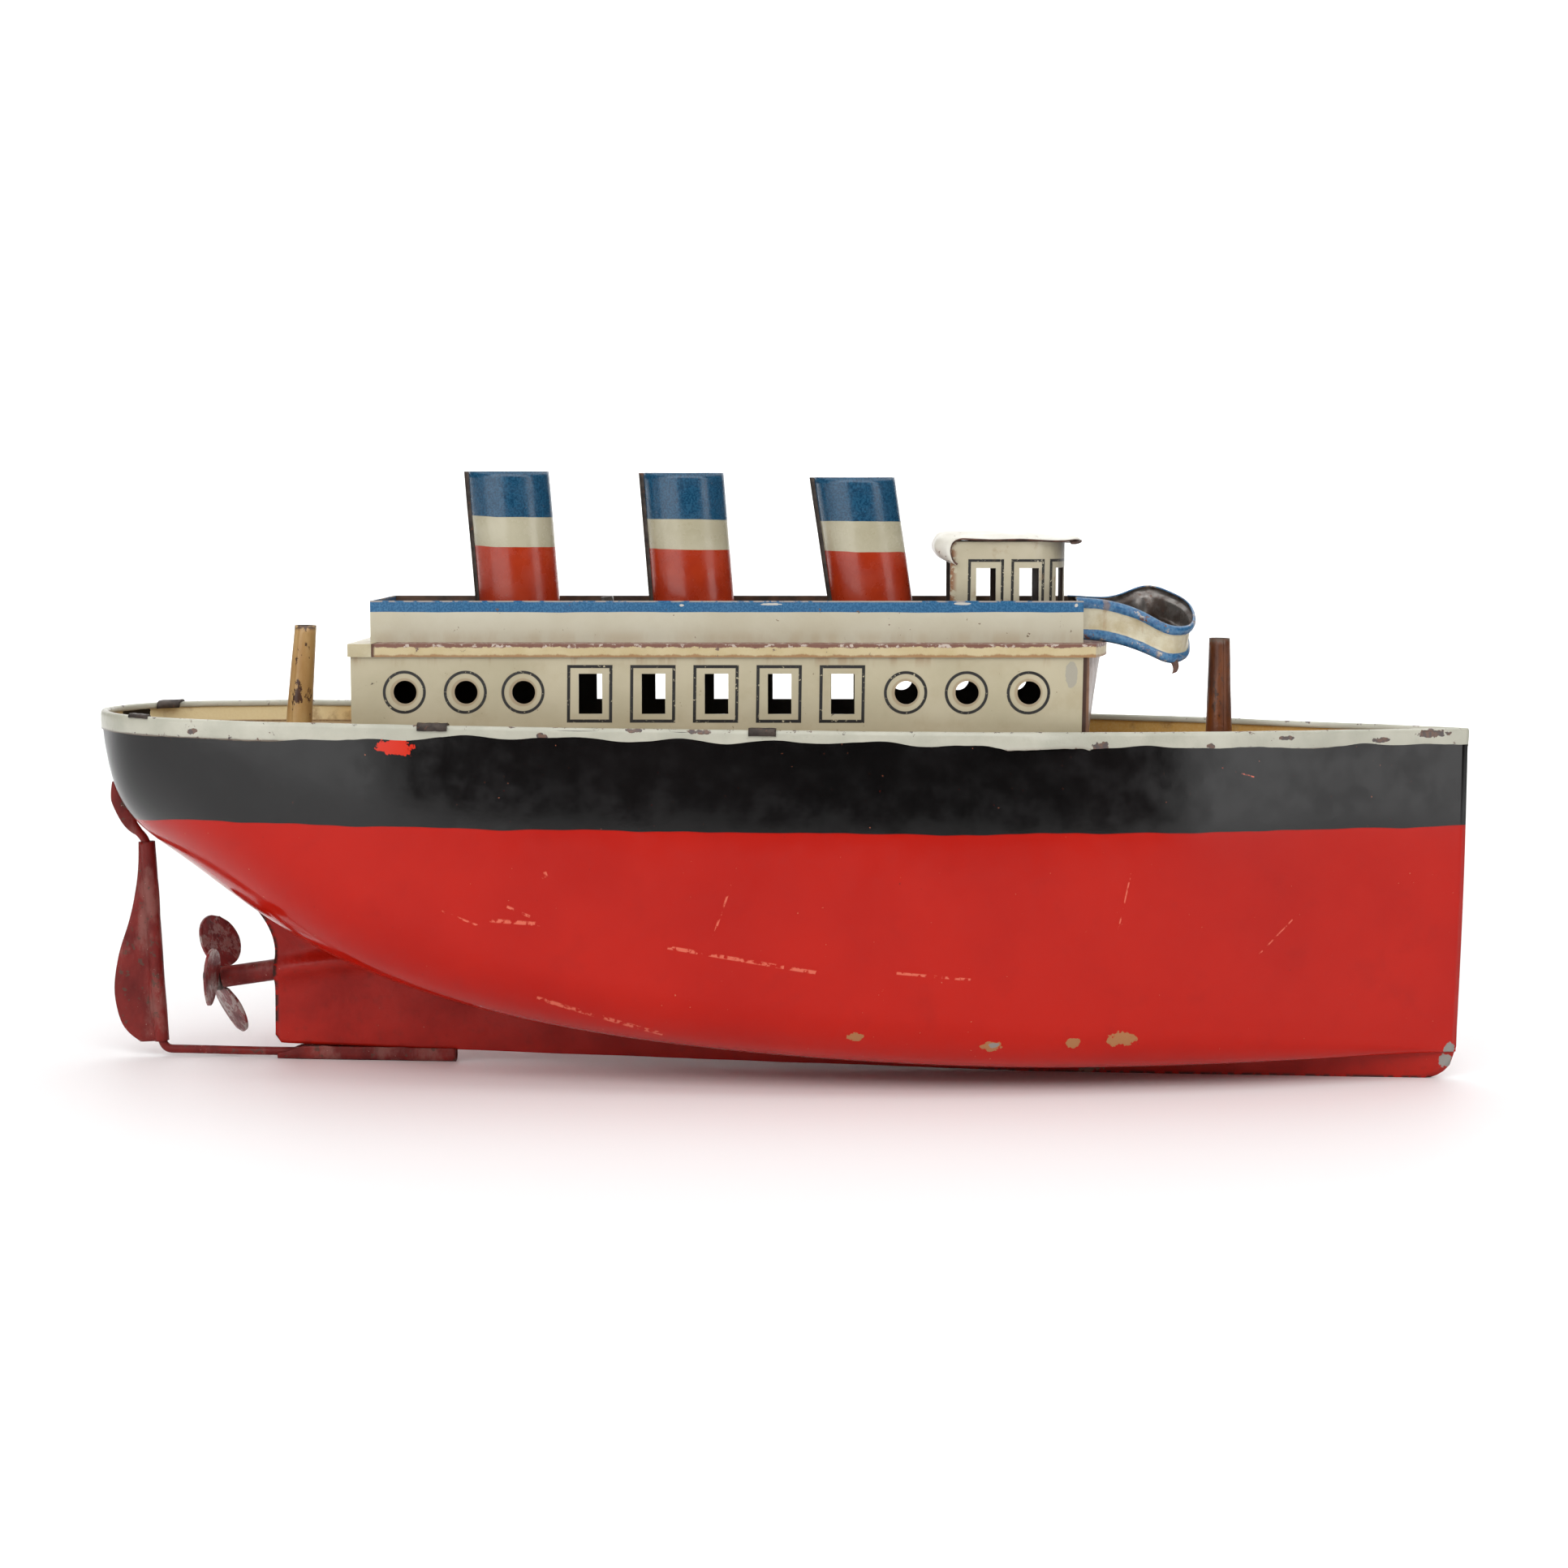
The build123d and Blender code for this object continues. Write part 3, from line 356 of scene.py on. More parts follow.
def house_litho():
    """Cream sides with inked rings and frames, dark raw tin inside."""
    paint = Paint("house_litho", roughness=0.38, coat=0.1, level=True)
    tone = paint.noise(0.06, 6)
    colour = paint.mix(paint.ramp(tone, 0.3, 0.7), linear(206, 196, 168), linear(190, 180, 150))
    cloud = paint.ramp(paint.noise(0.2, 6, shift=6), 0.5, 0.75, 0.0, 0.35)
    colour = paint.mix(cloud, colour, linear(178, 160, 126))
    streak = paint.noise(0.3, 5, (1, 1, 0.12), shift=12)
    under_flange = paint.ramp(paint.z, 74.5, 77.5)
    rust = paint.both(under_flange, paint.ramp(streak, 0.5, 0.62))
    colour = paint.mix(paint.math("MULTIPLY", rust, 0.45), colour, linear(150, 96, 48))
    ink = None
    for x in PORTS:
        dx = paint.math("SUBTRACT", paint.x, x)
        dz = paint.math("SUBTRACT", paint.z, 70.75)
        far = paint.math("SQRT", paint.math("ADD", paint.math("MULTIPLY", dx, dx), paint.math("MULTIPLY", dz, dz)))
        lip = paint.ramp(far, 2.35, 2.6, 1.0, 0.0)
        colour = paint.mix(paint.math("MULTIPLY", lip, 0.45), colour, linear(150, 116, 82))
        ring = paint.within(far, 3.3, 3.82, 0.05)
        ink = ring if ink is None else paint.either(ink, ring)
    height = paint.math("DIVIDE", paint.math("ABSOLUTE", paint.math("SUBTRACT", paint.z, 70.5)), 5.1)
    for x in WINDOWS:
        width = paint.math("DIVIDE", paint.math("ABSOLUTE", paint.math("SUBTRACT", paint.x, x)), 4.0)
        across = paint.math("SUBTRACT", paint.math("MULTIPLY", width, 4.0), 4.0)
        above = paint.math("SUBTRACT", paint.math("MULTIPLY", height, 5.1), 5.1)
        frame_line = paint.within(paint.math("MAXIMUM", across, above), -0.56, 0.0, 0.05)
        ink = paint.either(ink, frame_line)
    broken = paint.ramp(paint.noise(1.8, 3, shift=2), 0.28, 0.38)
    colour = paint.mix(paint.both(ink, broken), colour, linear(36, 34, 34))
    drop = paint.spot(51, 74.0, 1.1, 2.4, -1, 0.3)
    colour = paint.mix(paint.math("MULTIPLY", drop, 0.5), colour, linear(150, 150, 150))
    for start, end, width in (((-75.5, 71), (-71.5, 72.6), 0.2), ((8, 66), (12, 69), 0.12)):
        colour = paint.mix(paint.scratch(start, end, width), colour, linear(90, 78, 62))
    specks = paint.ramp(paint.noise(1.0, 3, shift=21), 0.72, 0.76, 0.0, 0.7)
    colour = paint.mix(specks, colour, linear(112, 88, 60))
    inner = paint.both(paint.ramp(paint.math("ABSOLUTE", paint.y), 18.6, 18.85, 1.0, 0.0),
                       paint.ramp(paint.x, -76.0, -75.8))
    colour = paint.mix(inner, colour, INSIDE)
    return paint.finish(colour, paint.ramp(tone, 0.3, 0.7, 0.3, 0.48), paint.noise(0.3, 6), 0.1)


def flange_paint():
    """Boat deck: cream flange, rubbed to brown along the top and rusty below."""
    paint = Paint("flange_paint", roughness=0.45, level=True)
    tone = paint.noise(0.1, 6)
    colour = paint.mix(paint.ramp(tone, 0.3, 0.7), linear(214, 198, 158), linear(200, 180, 134))
    wander = paint.math("MULTIPLY", paint.math("SUBTRACT", paint.noise(0.35, 6, (1, 1, 0.2), 0.7), 0.5), 1.4)
    rub = paint.ramp(paint.math("ADD", paint.z, wander), 78.62, 78.8)
    colour = paint.mix(rub, colour, linear(128, 86, 72))
    pale = paint.both(rub, paint.ramp(paint.noise(0.9, 5, shift=5), 0.55, 0.62))
    colour = paint.mix(pale, colour, linear(206, 190, 178))
    rust = paint.ramp(paint.math("ADD", paint.z, wander), 77.2, 77.55, 1.0, 0.0)
    colour = paint.mix(paint.math("MULTIPLY", rust, 0.75), colour, linear(150, 96, 44))
    flaked = chipping(paint, 0.4, 0.66)
    colour = paint.mix(flaked, colour, linear(120, 96, 84))
    colour = paint.mix(paint.ramp(paint.x, -72.1, -71.6, 1.0, 0.0), colour, linear(96, 62, 44))
    under = paint.both(paint.ramp(paint.z, 78.85, 78.95, 1.0, 0.0),
                       paint.ramp(paint.math("ABSOLUTE", paint.y), 19.15, 19.25, 1.0, 0.0),
                       paint.ramp(paint.x, 54.0, 54.6, 1.0, 0.0))
    colour = paint.mix(under, colour, INSIDE)
    return paint.finish(colour, paint.ramp(tone, 0.3, 0.7, 0.35, 0.55), paint.noise(0.5, 6), 0.25)


def tray_litho():
    """Promenade bulwark: cream with a blue stripe; brown inside."""
    paint = Paint("tray_litho", roughness=0.36, coat=0.1, level=True)
    tone = paint.noise(0.06, 6)
    cream = paint.mix(paint.ramp(tone, 0.3, 0.7), linear(216, 211, 190), linear(203, 195, 170))
    stain = paint.both(paint.ramp(paint.z, 80.0, 82.0, 1.0, 0.0), paint.ramp(paint.noise(0.3, 5, (1, 1, 0.3)), 0.4, 0.6))
    cream = paint.mix(paint.math("MULTIPLY", stain, 0.2), cream, linear(176, 138, 84))
    grain = paint.ramp(paint.noise(3.0, 2), 0.4, 0.62, 0.0, 0.5)
    blue = paint.mix(grain, BLUE, linear(78, 138, 178))
    wave = paint.math("MULTIPLY", paint.math("SUBTRACT", paint.noise(0.06, 2, (1, 0, 0)), 0.5), 0.5)
    stripe = paint.ramp(paint.math("ADD", paint.z, wave), 84.62, 84.74)
    colour = paint.mix(stripe, cream, blue)
    for x, z, wide, tall in ((-2, 86.1, 1.8, 0.22), (32, 86.2, 1.6, 0.22), (-18, 85.9, 0.4, 0.2), (52, 85.9, 0.3, 0.3)):
        colour = paint.mix(paint.spot(x, z, wide, tall, -1, 0.8), colour, linear(210, 206, 196))
    edge = paint.both(paint.ramp(paint.z, 86.35, 86.6), paint.ramp(paint.noise(0.5, 5), 0.42, 0.5))
    colour = paint.mix(edge, colour, linear(176, 166, 156))
    specks = paint.ramp(paint.noise(0.9, 3, shift=17), 0.72, 0.75, 0.0, 0.8)
    colour = paint.mix(specks, colour, linear(112, 84, 58))
    inner = paint.both(paint.ramp(paint.math("ABSOLUTE", paint.y), 13.3, 13.42, 1.0, 0.0),
                       paint.ramp(paint.x, -73.2, -73.1))
    raw = paint.mix(paint.ramp(paint.noise(0.2, 6, shift=3), 0.4, 0.65), linear(66, 52, 42), linear(104, 78, 60))
    colour = paint.mix(inner, colour, raw)
    return paint.finish(colour, paint.ramp(tone, 0.3, 0.7, 0.3, 0.48), paint.noise(0.4, 5), 0.1)


def funnel_litho():
    """Red, cream and blue bands; brown bare tin inside and at the seam."""
    paint = Paint("funnel_litho", roughness=0.24, coat=0.12)
    grain = paint.ramp(paint.noise(3.2, 2), 0.38, 0.62)
    blue = paint.mix(grain, linear(14, 62, 92), linear(38, 90, 122))
    red = paint.mix(paint.ramp(paint.noise(0.2, 5), 0.3, 0.7), linear(184, 58, 24), linear(170, 48, 18))
    cream = paint.mix(paint.ramp(paint.noise(0.15, 5), 0.3, 0.7), linear(198, 191, 165), linear(184, 176, 148))
    ripple = paint.math("MULTIPLY", paint.math("SUBTRACT", paint.noise(0.12, 2), 0.5), 0.5)
    height = paint.math("ADD", paint.z, ripple)
    colour = paint.mix(paint.ramp(height, 95.35, 95.5), red, cream)
    colour = paint.mix(paint.ramp(height, 100.75, 100.9), colour, blue)
    specks = paint.ramp(paint.noise(1.1, 3, shift=17), 0.72, 0.76, 0.0, 0.6)
    colour = paint.mix(specks, colour, linear(150, 110, 84))
    return paint.finish(colour, paint.ramp(paint.noise(0.3, 5), 0.3, 0.7, 0.2, 0.34), paint.noise(0.2, 4), 0.12)


def bridge_litho():
    """Wheelhouse wall with inked window frames."""
    paint = Paint("bridge_litho", roughness=0.4, coat=0.1, level=True)
    tone = paint.noise(0.1, 6)
    colour = paint.mix(paint.ramp(tone, 0.3, 0.7), linear(206, 197, 172), linear(190, 180, 152))
    ink = None
    top = 94.0
    for low, high in ((32.9, 39.3), (40.6, 46.6), (47.6, 60.0)):
        inside = paint.both(paint.within(paint.x, low, high, 0.04), paint.ramp(paint.z, top - 0.03, top + 0.03, 1, 0))
        core = paint.both(paint.within(paint.x, low + 0.5, high - 0.5, 0.04),
                          paint.ramp(paint.z, top - 0.53, top - 0.47, 1, 0))
        line = paint.both(inside, paint.inverse(core))
        ink = line if ink is None else paint.either(ink, line)
    broken = paint.ramp(paint.noise(2.0, 3), 0.3, 0.42)
    colour = paint.mix(paint.both(ink, broken), colour, linear(38, 37, 36))
    stain = paint.ramp(paint.noise(0.35, 6, shift=4), 0.58, 0.72, 0.0, 0.5)
    colour = paint.mix(stain, colour, linear(160, 128, 92))
    rust = paint.both(paint.ramp(paint.x, 30.0, 31.2, 1.0, 0.0), paint.ramp(paint.noise(0.8, 4), 0.42, 0.52))
    colour = paint.mix(rust, colour, linear(150, 104, 72))
    ahead = paint.math("DIVIDE", paint.math("MAXIMUM", paint.math("SUBTRACT", paint.x, 43.5), 0.0), 7.5)
    abeam = paint.math("DIVIDE", paint.y, 9.5)
    out = paint.math("ADD", paint.math("MULTIPLY", ahead, ahead), paint.math("MULTIPLY", abeam, abeam))
    inner = paint.ramp(out, 0.93, 0.97, 1.0, 0.0)
    colour = paint.mix(inner, colour, linear(70, 58, 50))
    return paint.finish(colour, paint.ramp(tone, 0.3, 0.7, 0.3, 0.5), paint.noise(0.5, 5), 0.12)


def worn_cream(name, light, dark, amount=0.64):
    """Cream paint flaked to brown; a lower amount flakes more."""
    paint = Paint(name, roughness=0.38, coat=0.1)
    tone = paint.noise(0.15, 5)
    colour = paint.mix(paint.ramp(tone, 0.3, 0.7), light, dark)
    colour = paint.mix(chipping(paint, 0.5, amount), colour, linear(120, 84, 66))
    # painted shade: a dark strip in the gap between the house side and its front wall, below the boat deck
    gap_shade = paint.both(paint.within(paint.x, 52.6, 53.7, 0.2), paint.ramp(paint.z, 79.0, 79.2, 1.0, 0.0))
    colour = paint.mix(gap_shade, colour, linear(70, 46, 36))
    return paint.finish(colour, paint.ramp(tone, 0.3, 0.7, 0.3, 0.45), paint.noise(0.4, 5), 0.2)


def edge_brown():
    """Cut edges and the undersides of folded sheet, where the paint is gone."""
    paint = Paint("edge_brown", roughness=0.6)
    colour = paint.mix(paint.ramp(paint.noise(0.6, 6), 0.35, 0.65), linear(110, 76, 62), linear(74, 54, 46))
    return paint.finish(colour, 0.6, paint.noise(1.2, 5), 0.1)


def mast_ochre():
    paint = Paint("mast_ochre", roughness=0.34, coat=0.1)
    tone = paint.noise(0.35, 6, (1, 1, 0.3))
    pale = paint.mix(paint.ramp(tone, 0.3, 0.7), linear(204, 168, 112), linear(182, 138, 80))
    rusty = paint.mix(paint.ramp(tone, 0.35, 0.65), linear(126, 68, 28), linear(88, 45, 22))
    colour = paint.mix(paint.math("GREATER_THAN", paint.x, 0.0), pale, rusty)
    blots = paint.ramp(paint.noise(0.42, 6, (1, 1, 0.5), 0.7, 6), 0.57, 0.6)
    colour = paint.mix(blots, colour, linear(78, 46, 28))
    worn = paint.ramp(paint.z, 79.4, 80.2)
    colour = paint.mix(paint.both(worn, paint.ramp(paint.noise(1.2, 4), 0.4, 0.5)), colour, linear(96, 72, 56))
    return paint.finish(colour, paint.ramp(tone, 0.3, 0.7, 0.3, 0.5), paint.noise(0.8, 5), 0.15)


def bare_tin(name, light, dark, roughness=0.34, metal=0.85):
    paint = Paint(name, roughness=roughness)
    tone = paint.noise(0.4, 7, rough=0.65)
    colour = paint.mix(paint.ramp(tone, 0.35, 0.65), light, dark)
    rusty = paint.ramp(paint.noise(0.7, 6, shift=8), 0.6, 0.7)
    colour = paint.mix(paint.math("MULTIPLY", rusty, 0.6), colour, RUST)
    shine = paint.ramp(rusty, 0.0, 1.0, metal, metal * 0.3)
    return paint.finish(colour, paint.ramp(tone, 0.3, 0.7, roughness * 0.8, roughness * 1.4),
                        paint.noise(0.9, 5), 0.06, shine)


def propeller_paint():
    """Bare rubbed faces with old dark red paint left in the middle."""
    paint = Paint("propeller_paint", roughness=0.4)
    tone = paint.noise(0.45, 6)
    colour = paint.mix(paint.ramp(tone, 0.35, 0.65), linear(134, 50, 48), linear(104, 38, 38))
    worn = paint.ramp(paint.noise(0.35, 6, rough=0.7, shift=3), 0.5, 0.58)
    colour = paint.mix(worn, colour, linear(176, 158, 152))
    dark = paint.ramp(paint.noise(0.8, 5, shift=13), 0.64, 0.7)
    colour = paint.mix(dark, colour, linear(58, 42, 38))
    return paint.finish(colour, paint.ramp(tone, 0.3, 0.7, 0.3, 0.5), paint.noise(0.7, 6), 0.2,
                        paint.math("MULTIPLY", worn, 0.7))


INKS = {
    "hull_enamel": hull_enamel(), "keel_paint": keel_paint(), "matt_red": matt_red(),
    "rim_cream": rim_cream(), "deck_litho": deck_litho(), "house_litho": house_litho(),
    "flange_paint": flange_paint(), "tray_litho": tray_litho(), "funnel_litho": funnel_litho(),
    "bridge_litho": bridge_litho(), "roof_cream": worn_cream("roof_cream", linear(240, 237, 226), linear(222, 217, 202)), "edge_brown": edge_brown(),
    "mast_ochre": mast_ochre(), "propeller_paint": propeller_paint(),
    "cap_cream": worn_cream("cap_cream", linear(208, 198, 168), linear(190, 176, 140)),
    # painted shade: the deckhouse front's cream is darkened to brown
    "front_cream_shaded": worn_cream("front_cream_shaded", linear(142, 106, 82), linear(100, 68, 52), 0.6),
    "raw_tin": bare_tin("raw_tin", linear(150, 146, 142), linear(104, 92, 86)),
    "sooty_tin": bare_tin("sooty_tin", linear(74, 62, 54), linear(48, 40, 36), 0.5, 0.3),
    "wire_steel": bare_tin("wire_steel", linear(142, 138, 134), linear(92, 84, 78)),
    "brass": bare_tin("brass", linear(190, 152, 84), linear(150, 112, 58), 0.3, 0.9),
    "blued": bare_tin("blued", linear(58, 62, 74), linear(38, 40, 50), 0.3, 0.9),
}

CAD_INKS = {
    "main_deck": "deck_litho", "deckhouse": "house_litho", "deckhouse_front": "front_cream_shaded",
    "boat_deck": "flange_paint", "aft_cap": "cap_cream", "promenade_tray": "tray_litho",
    "wheelhouse": "bridge_litho", "stern_tube": "matt_red",
    "lower_plate": "raw_tin", "upper_plate": "raw_tin", "plate_pillars": "brass",
    "motor_feet": "raw_tin", "mainspring": "blued", "winding_arbor": "wire_steel",
    "ratchet_wheel": "brass", "great_wheel": "brass", "click": "wire_steel", "click_spring": "blued",
    "second_arbor": "wire_steel", "second_pinion": "wire_steel", "second_wheel": "brass",
    "third_arbor": "wire_steel", "third_pinion": "wire_steel", "crown_wheel": "brass",
    "propeller_shaft": "wire_steel", "shaft_pinion": "wire_steel",
}
for node_name, ink in CAD_INKS.items():
    mesh = NODES[node_name].data
    mesh.materials.clear()
    mesh.materials.append(INKS[ink])


# --- mesh kit -------------------------------------------------------------------
def spline(knots, count):
    """Points on a natural cubic spline through the knots, spaced by chord length."""
    knots = np.array(knots, float)
    steps = np.linalg.norm(np.diff(knots[:, :3], axis=0), axis=1)
    at = np.concatenate([[0], np.cumsum(steps)])
    n = len(knots)
    left = np.zeros((n, n))
    right = np.zeros(knots.shape)
    left[0, 0] = left[-1, -1] = 1
    for i in range(1, n - 1):
        before, after = steps[i - 1], steps[i]
        left[i, i - 1:i + 2] = before, 2 * (before + after), after
        right[i] = 6 * ((knots[i + 1] - knots[i]) / after - (knots[i] - knots[i - 1]) / before)
    bend = np.linalg.solve(left, right)
    where = np.linspace(0, at[-1], count)
    span = np.clip(np.searchsorted(at, where, side="right") - 1, 0, n - 2)
    h = steps[span][:, None]
    a = (at[span + 1] - where)[:, None] / h
    b = 1 - a
    return (a * knots[span] + b * knots[span + 1]
            + ((a ** 3 - a) * bend[span] + (b ** 3 - b) * bend[span + 1]) * h ** 2 / 6)


def sheet_faces(rows, columns, first=0, closed=False):
    """Quads of a grid; closed joins the last column to the first."""
    faces = []
    for r in range(rows - 1):
        for c in range(columns if closed else columns - 1):
            d = (c + 1) % columns
            faces.append((first + r * columns + c, first + r * columns + d,
                          first + (r + 1) * columns + d, first + (r + 1) * columns + c))
    return faces


def make_piece(name, grids, inks, body, replaced=(), thick=0.0, offset=-1.0, sharp=50, bevel=0.0):
    """One object from grids of points, each (rows, columns, 3), with an optional sheet thickness."""
    verts, faces, slots = [], [], []
    for grid in grids:
        points, ink, closed, flip = grid
        rows, columns = points.shape[:2]
        quads = sheet_faces(rows, columns, len(verts), closed)
        if flip:
            quads = [tuple(reversed(quad)) for quad in quads]
        verts.extend(map(tuple, points.reshape(-1, 3) * MM))
        faces.extend(quads)
        slots.extend([ink] * len(quads))
    mesh = bpy.data.meshes.new(name)
    mesh.from_pydata(verts, [], faces)
    for ink in inks:
        mesh.materials.append(INKS[ink])
    mesh.polygons.foreach_set("material_index", slots)
    mesh.polygons.foreach_set("use_smooth", [True] * len(faces))
    mesh.validate()
    obj = bpy.data.objects.new(name, mesh)
    bpy.context.collection.objects.link(obj)
    if thick:
        solid = obj.modifiers.new("sheet", "SOLIDIFY")
        solid.thickness = thick * MM
        solid.offset = offset
    if bevel:
        soft = obj.modifiers.new("edges", "BEVEL")
        soft.width = bevel * MM
        soft.segments = 2
        soft.limit_method = "ANGLE"
    mesh.set_sharp_from_angle(angle=math.radians(sharp))
    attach(obj, body)
    if replaced:
        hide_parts(*replaced)
    return obj


def dents(points, size, depth, seed=0.0):
    """Push points about, as hand-worked tin is never true."""
    for index in np.ndindex(points.shape[:2]):
        p = Vector(points[index]) / size + Vector((seed, seed, seed))
        points[index] += depth * np.array(noise.noise_vector(p))
    return points


def on_shaft(u, v, w):
    """From the shaft's frame (u forward along it, w up) to the row's."""
    x = SHAFT_X + u * math.cos(SHAFT_RISE) - w * math.sin(SHAFT_RISE)
    z = SHAFT_Z + u * math.sin(SHAFT_RISE) + w * math.cos(SHAFT_RISE)
    return x, v, z


def trimmed(points):
    """Level superstructure points set to their bow-up trim."""
    out = np.array(points, float)
    dz = out[..., 2] - TRIM_Z
    x = out[..., 0].copy()
    out[..., 0] = x * math.cos(TRIM) - dz * math.sin(TRIM)
    out[..., 2] = TRIM_Z + x * math.sin(TRIM) + dz * math.cos(TRIM)
    return out


# --- hull --------------------------------------------------------------------------
# x, half breadth, bottom height, bilge width, bilge height
HULL_LINES = [
    (-124.2, 3.6, 60.6, 3.2, 3.2), (-122.4, 8.8, 51.6, 8.3, 10.0), (-117.8, 15.6, 43.7, 14.8, 17.0),
    (-109.5, 21.2, 37.9, 19.5, 22.0), (-98.0, 25.3, 30.4, 21.0, 24.0), (-84.0, 27.9, 22.9, 19.0, 21.0),
    (-66.0, 29.1, 16.3, 16.0, 17.0), (-42.0, 29.6, 10.7, 13.5, 14.0), (-14.0, 29.5, 7.0, 12.5, 12.5),
    (14.0, 28.3, 4.9, 11.5, 11.5), (40.0, 25.4, 3.9, 10.0, 10.0), (64.0, 20.6, 3.8, 8.0, 8.0),
    (86.0, 14.6, 4.1, 5.8, 5.8), (104.0, 8.0, 4.5, 3.6, 3.6), (118.0, 2.9, 4.9, 1.5, 1.5),
    (124.9, 0.6, 5.0, 0.3, 0.3),
]
SIDE_CROWN = 1.2
STATIONS = 240
STERN_TIP = (-124.6, 0.02, 62.6, 0.01, 0.01)
hull_stations = spline([STERN_TIP] + HULL_LINES, STATIONS)


def hull_frame(station, inset=0.0, top=RIM_Z):
    """Half a hull frame as (y, z) points, from the keel up to the rim."""
    _, half, bottom, bilge_width, bilge_height = station
    half = max(half - inset, 0.01)
    bilge_width = min(max(bilge_width, 0.01), half)
    knee = min(bottom + bilge_height, top - 0.4)
    bilge_height = knee - bottom
    points = [(t * (half - bilge_width), bottom) for t in np.linspace(0, 1, 8)[:-1]]
    for angle in np.linspace(0, math.pi / 2, 26)[:-1]:
        points.append((half - bilge_width + bilge_width * math.sin(angle), knee - bilge_height * math.cos(angle)))
    tall = RIM_Z + 3 - knee
    crown = SIDE_CROWN * tall / RIM_Z
    for z in np.linspace(knee, top, 30):
        t = (z - knee) / tall
        points.append((half + crown * 4 * t * (1 - t), z))
    return points


def hull_side(side):
    """Outer face of one pressed half."""
    rows = []
    for station in hull_stations:
        rows.append([(station[0], side * y, z) for y, z in hull_frame(station)])
    return dents(np.array(rows), 38.0, 0.11, 3.1 * side)


def hull_bottom(x):
    return float(np.interp(x, hull_stations[:, 0], hull_stations[:, 2]))


def keel_side(side):
    """One flange of the keel, skeg and stem, with the swelling over the stern tube."""
    rows = []
    for u in np.linspace(0, 1, 200):
        x0 = -93.5 + 218.5 * u
        foot = 2.9 * max(0.0, 45 - x0) / 138.5
        if x0 > 119:
            foot = max(foot, 6 - math.sqrt(max(0.0, 36 - (x0 - 119) ** 2)))
        if x0 < -92:
            foot += 1.5 - math.sqrt(max(0.0, 2.25 - (x0 + 92) ** 2))
        stem = min(max((x0 - 117) / 6, 0), 1)
        top = hull_bottom(max(x0, -96)) + 1.2 + 1.5 * (1 - u) ** 30
        top += (RIM_Z - top) * stem * stem * (3 - 2 * stem)
        row = []
        for v in np.linspace(0, 1, 40):
            z = foot + (top - foot) * v
            flare = -min(2.6 * (max(0.0, z - 19.6) / 7.2) ** 2, 3.4) * (1 - u) ** 30
            x = x0 + flare
            along = (x - SHAFT_X) / math.cos(SHAFT_RISE)
            off = z - (SHAFT_Z + (x - SHAFT_X) * math.tan(SHAFT_RISE))
            reach = min(max((-62 - x) / 12, 0), 1) * (1 if along > 0 else 0)
            swell = 2.1 * math.exp(-(off / 1.9) ** 2) * reach
            row.append((x, side * (0.5 + swell), z))
        rows.append(row)
    return dents(np.array(rows), 14.0, 0.12, 7.7)


for side, name in ((-1, "hull_starboard"), (1, "hull_port")):
    body_grid = (hull_side(side), 0, False, side < 0)
    keel_grid = (keel_side(side), 1, False, side < 0)
    make_piece(name + "_shell", [body_grid, keel_grid], ["hull_enamel", "keel_paint"], "hull",
               (name,), thick=0.4, offset=-1.0, sharp=60)

# --- rim band --------------------------------------------------------------------------
BAND_PROFILE = [(0.28, -2.9), (0.34, -2.2), (0.36, -1.2), (0.36, -0.3), (0.26, 0.16), (0.05, 0.4),
                (-0.3, 0.48), (-0.6, 0.46), (-0.85, 0.34), (-0.97, 0.1), (-1.0, -0.25), (-1.0, -0.6)]


def plan_path(count, start=0.0, end=1.0):
    """Rim line from the stern tip to the bow on the starboard side, as (x, y, outward x, outward y)."""
    line = spline([STERN_TIP[:2] + (0,)] + [row[:2] + (0,) for row in HULL_LINES], 800)[:, :2]
    line = line[int(start * 799):int(end * 799) + 1]
    length = np.concatenate([[0], np.cumsum(np.linalg.norm(np.diff(line, axis=0), axis=1))])
    where = np.linspace(0, length[-1], count)
    x = np.interp(where, length, line[:, 0])
    y = np.interp(where, length, line[:, 1])
    slope = np.stack([np.gradient(x), np.gradient(y)], 1)
    slope /= np.linalg.norm(slope, axis=1)[:, None]
    return x, y, -slope[:, 1], slope[:, 0]


def rim_side(side):
    x, y, out_x, out_y = plan_path(420)
    rows = []
    for i in range(len(x)):
        wave = 0.16 * noise.noise(Vector((x[i] * 0.09, side * 5.0, 0))) + 0.12 * noise.noise(Vector((x[i] * 0.5, side, 3)))
        aft_of_joint = min(max((54.5 - x[i]) / 1.5, 0), 1)
        bulge = 0.75 * math.exp(-((x[i] - 47) / 5.5) ** 2) * aft_of_joint if side < 0 else 0.0
        wave += 0.55 * math.exp(-((x[i] - 50) / 9) ** 2) * aft_of_joint
        row = []
        for out, up in BAND_PROFILE:
            low = min(max(0.3 - up / 2.9, 0), 1) if out > 0 else 0
            px = x[i] + out_x[i] * (out + bulge * low)
            py = y[i] + out_y[i] * (out + bulge * low)
            row.append((px, side * max(py, 0.0), RIM_Z + up + wave * low))
        rows.append(row)
    return dents(np.array(rows), 9.0, 0.08, side)


make_piece("rim_band_rolled", [(rim_side(-1), 0, False, True), (rim_side(1), 0, False, False)],
           ["rim_cream"], "hull", ("rim_band",), thick=0.25, offset=-1.0)


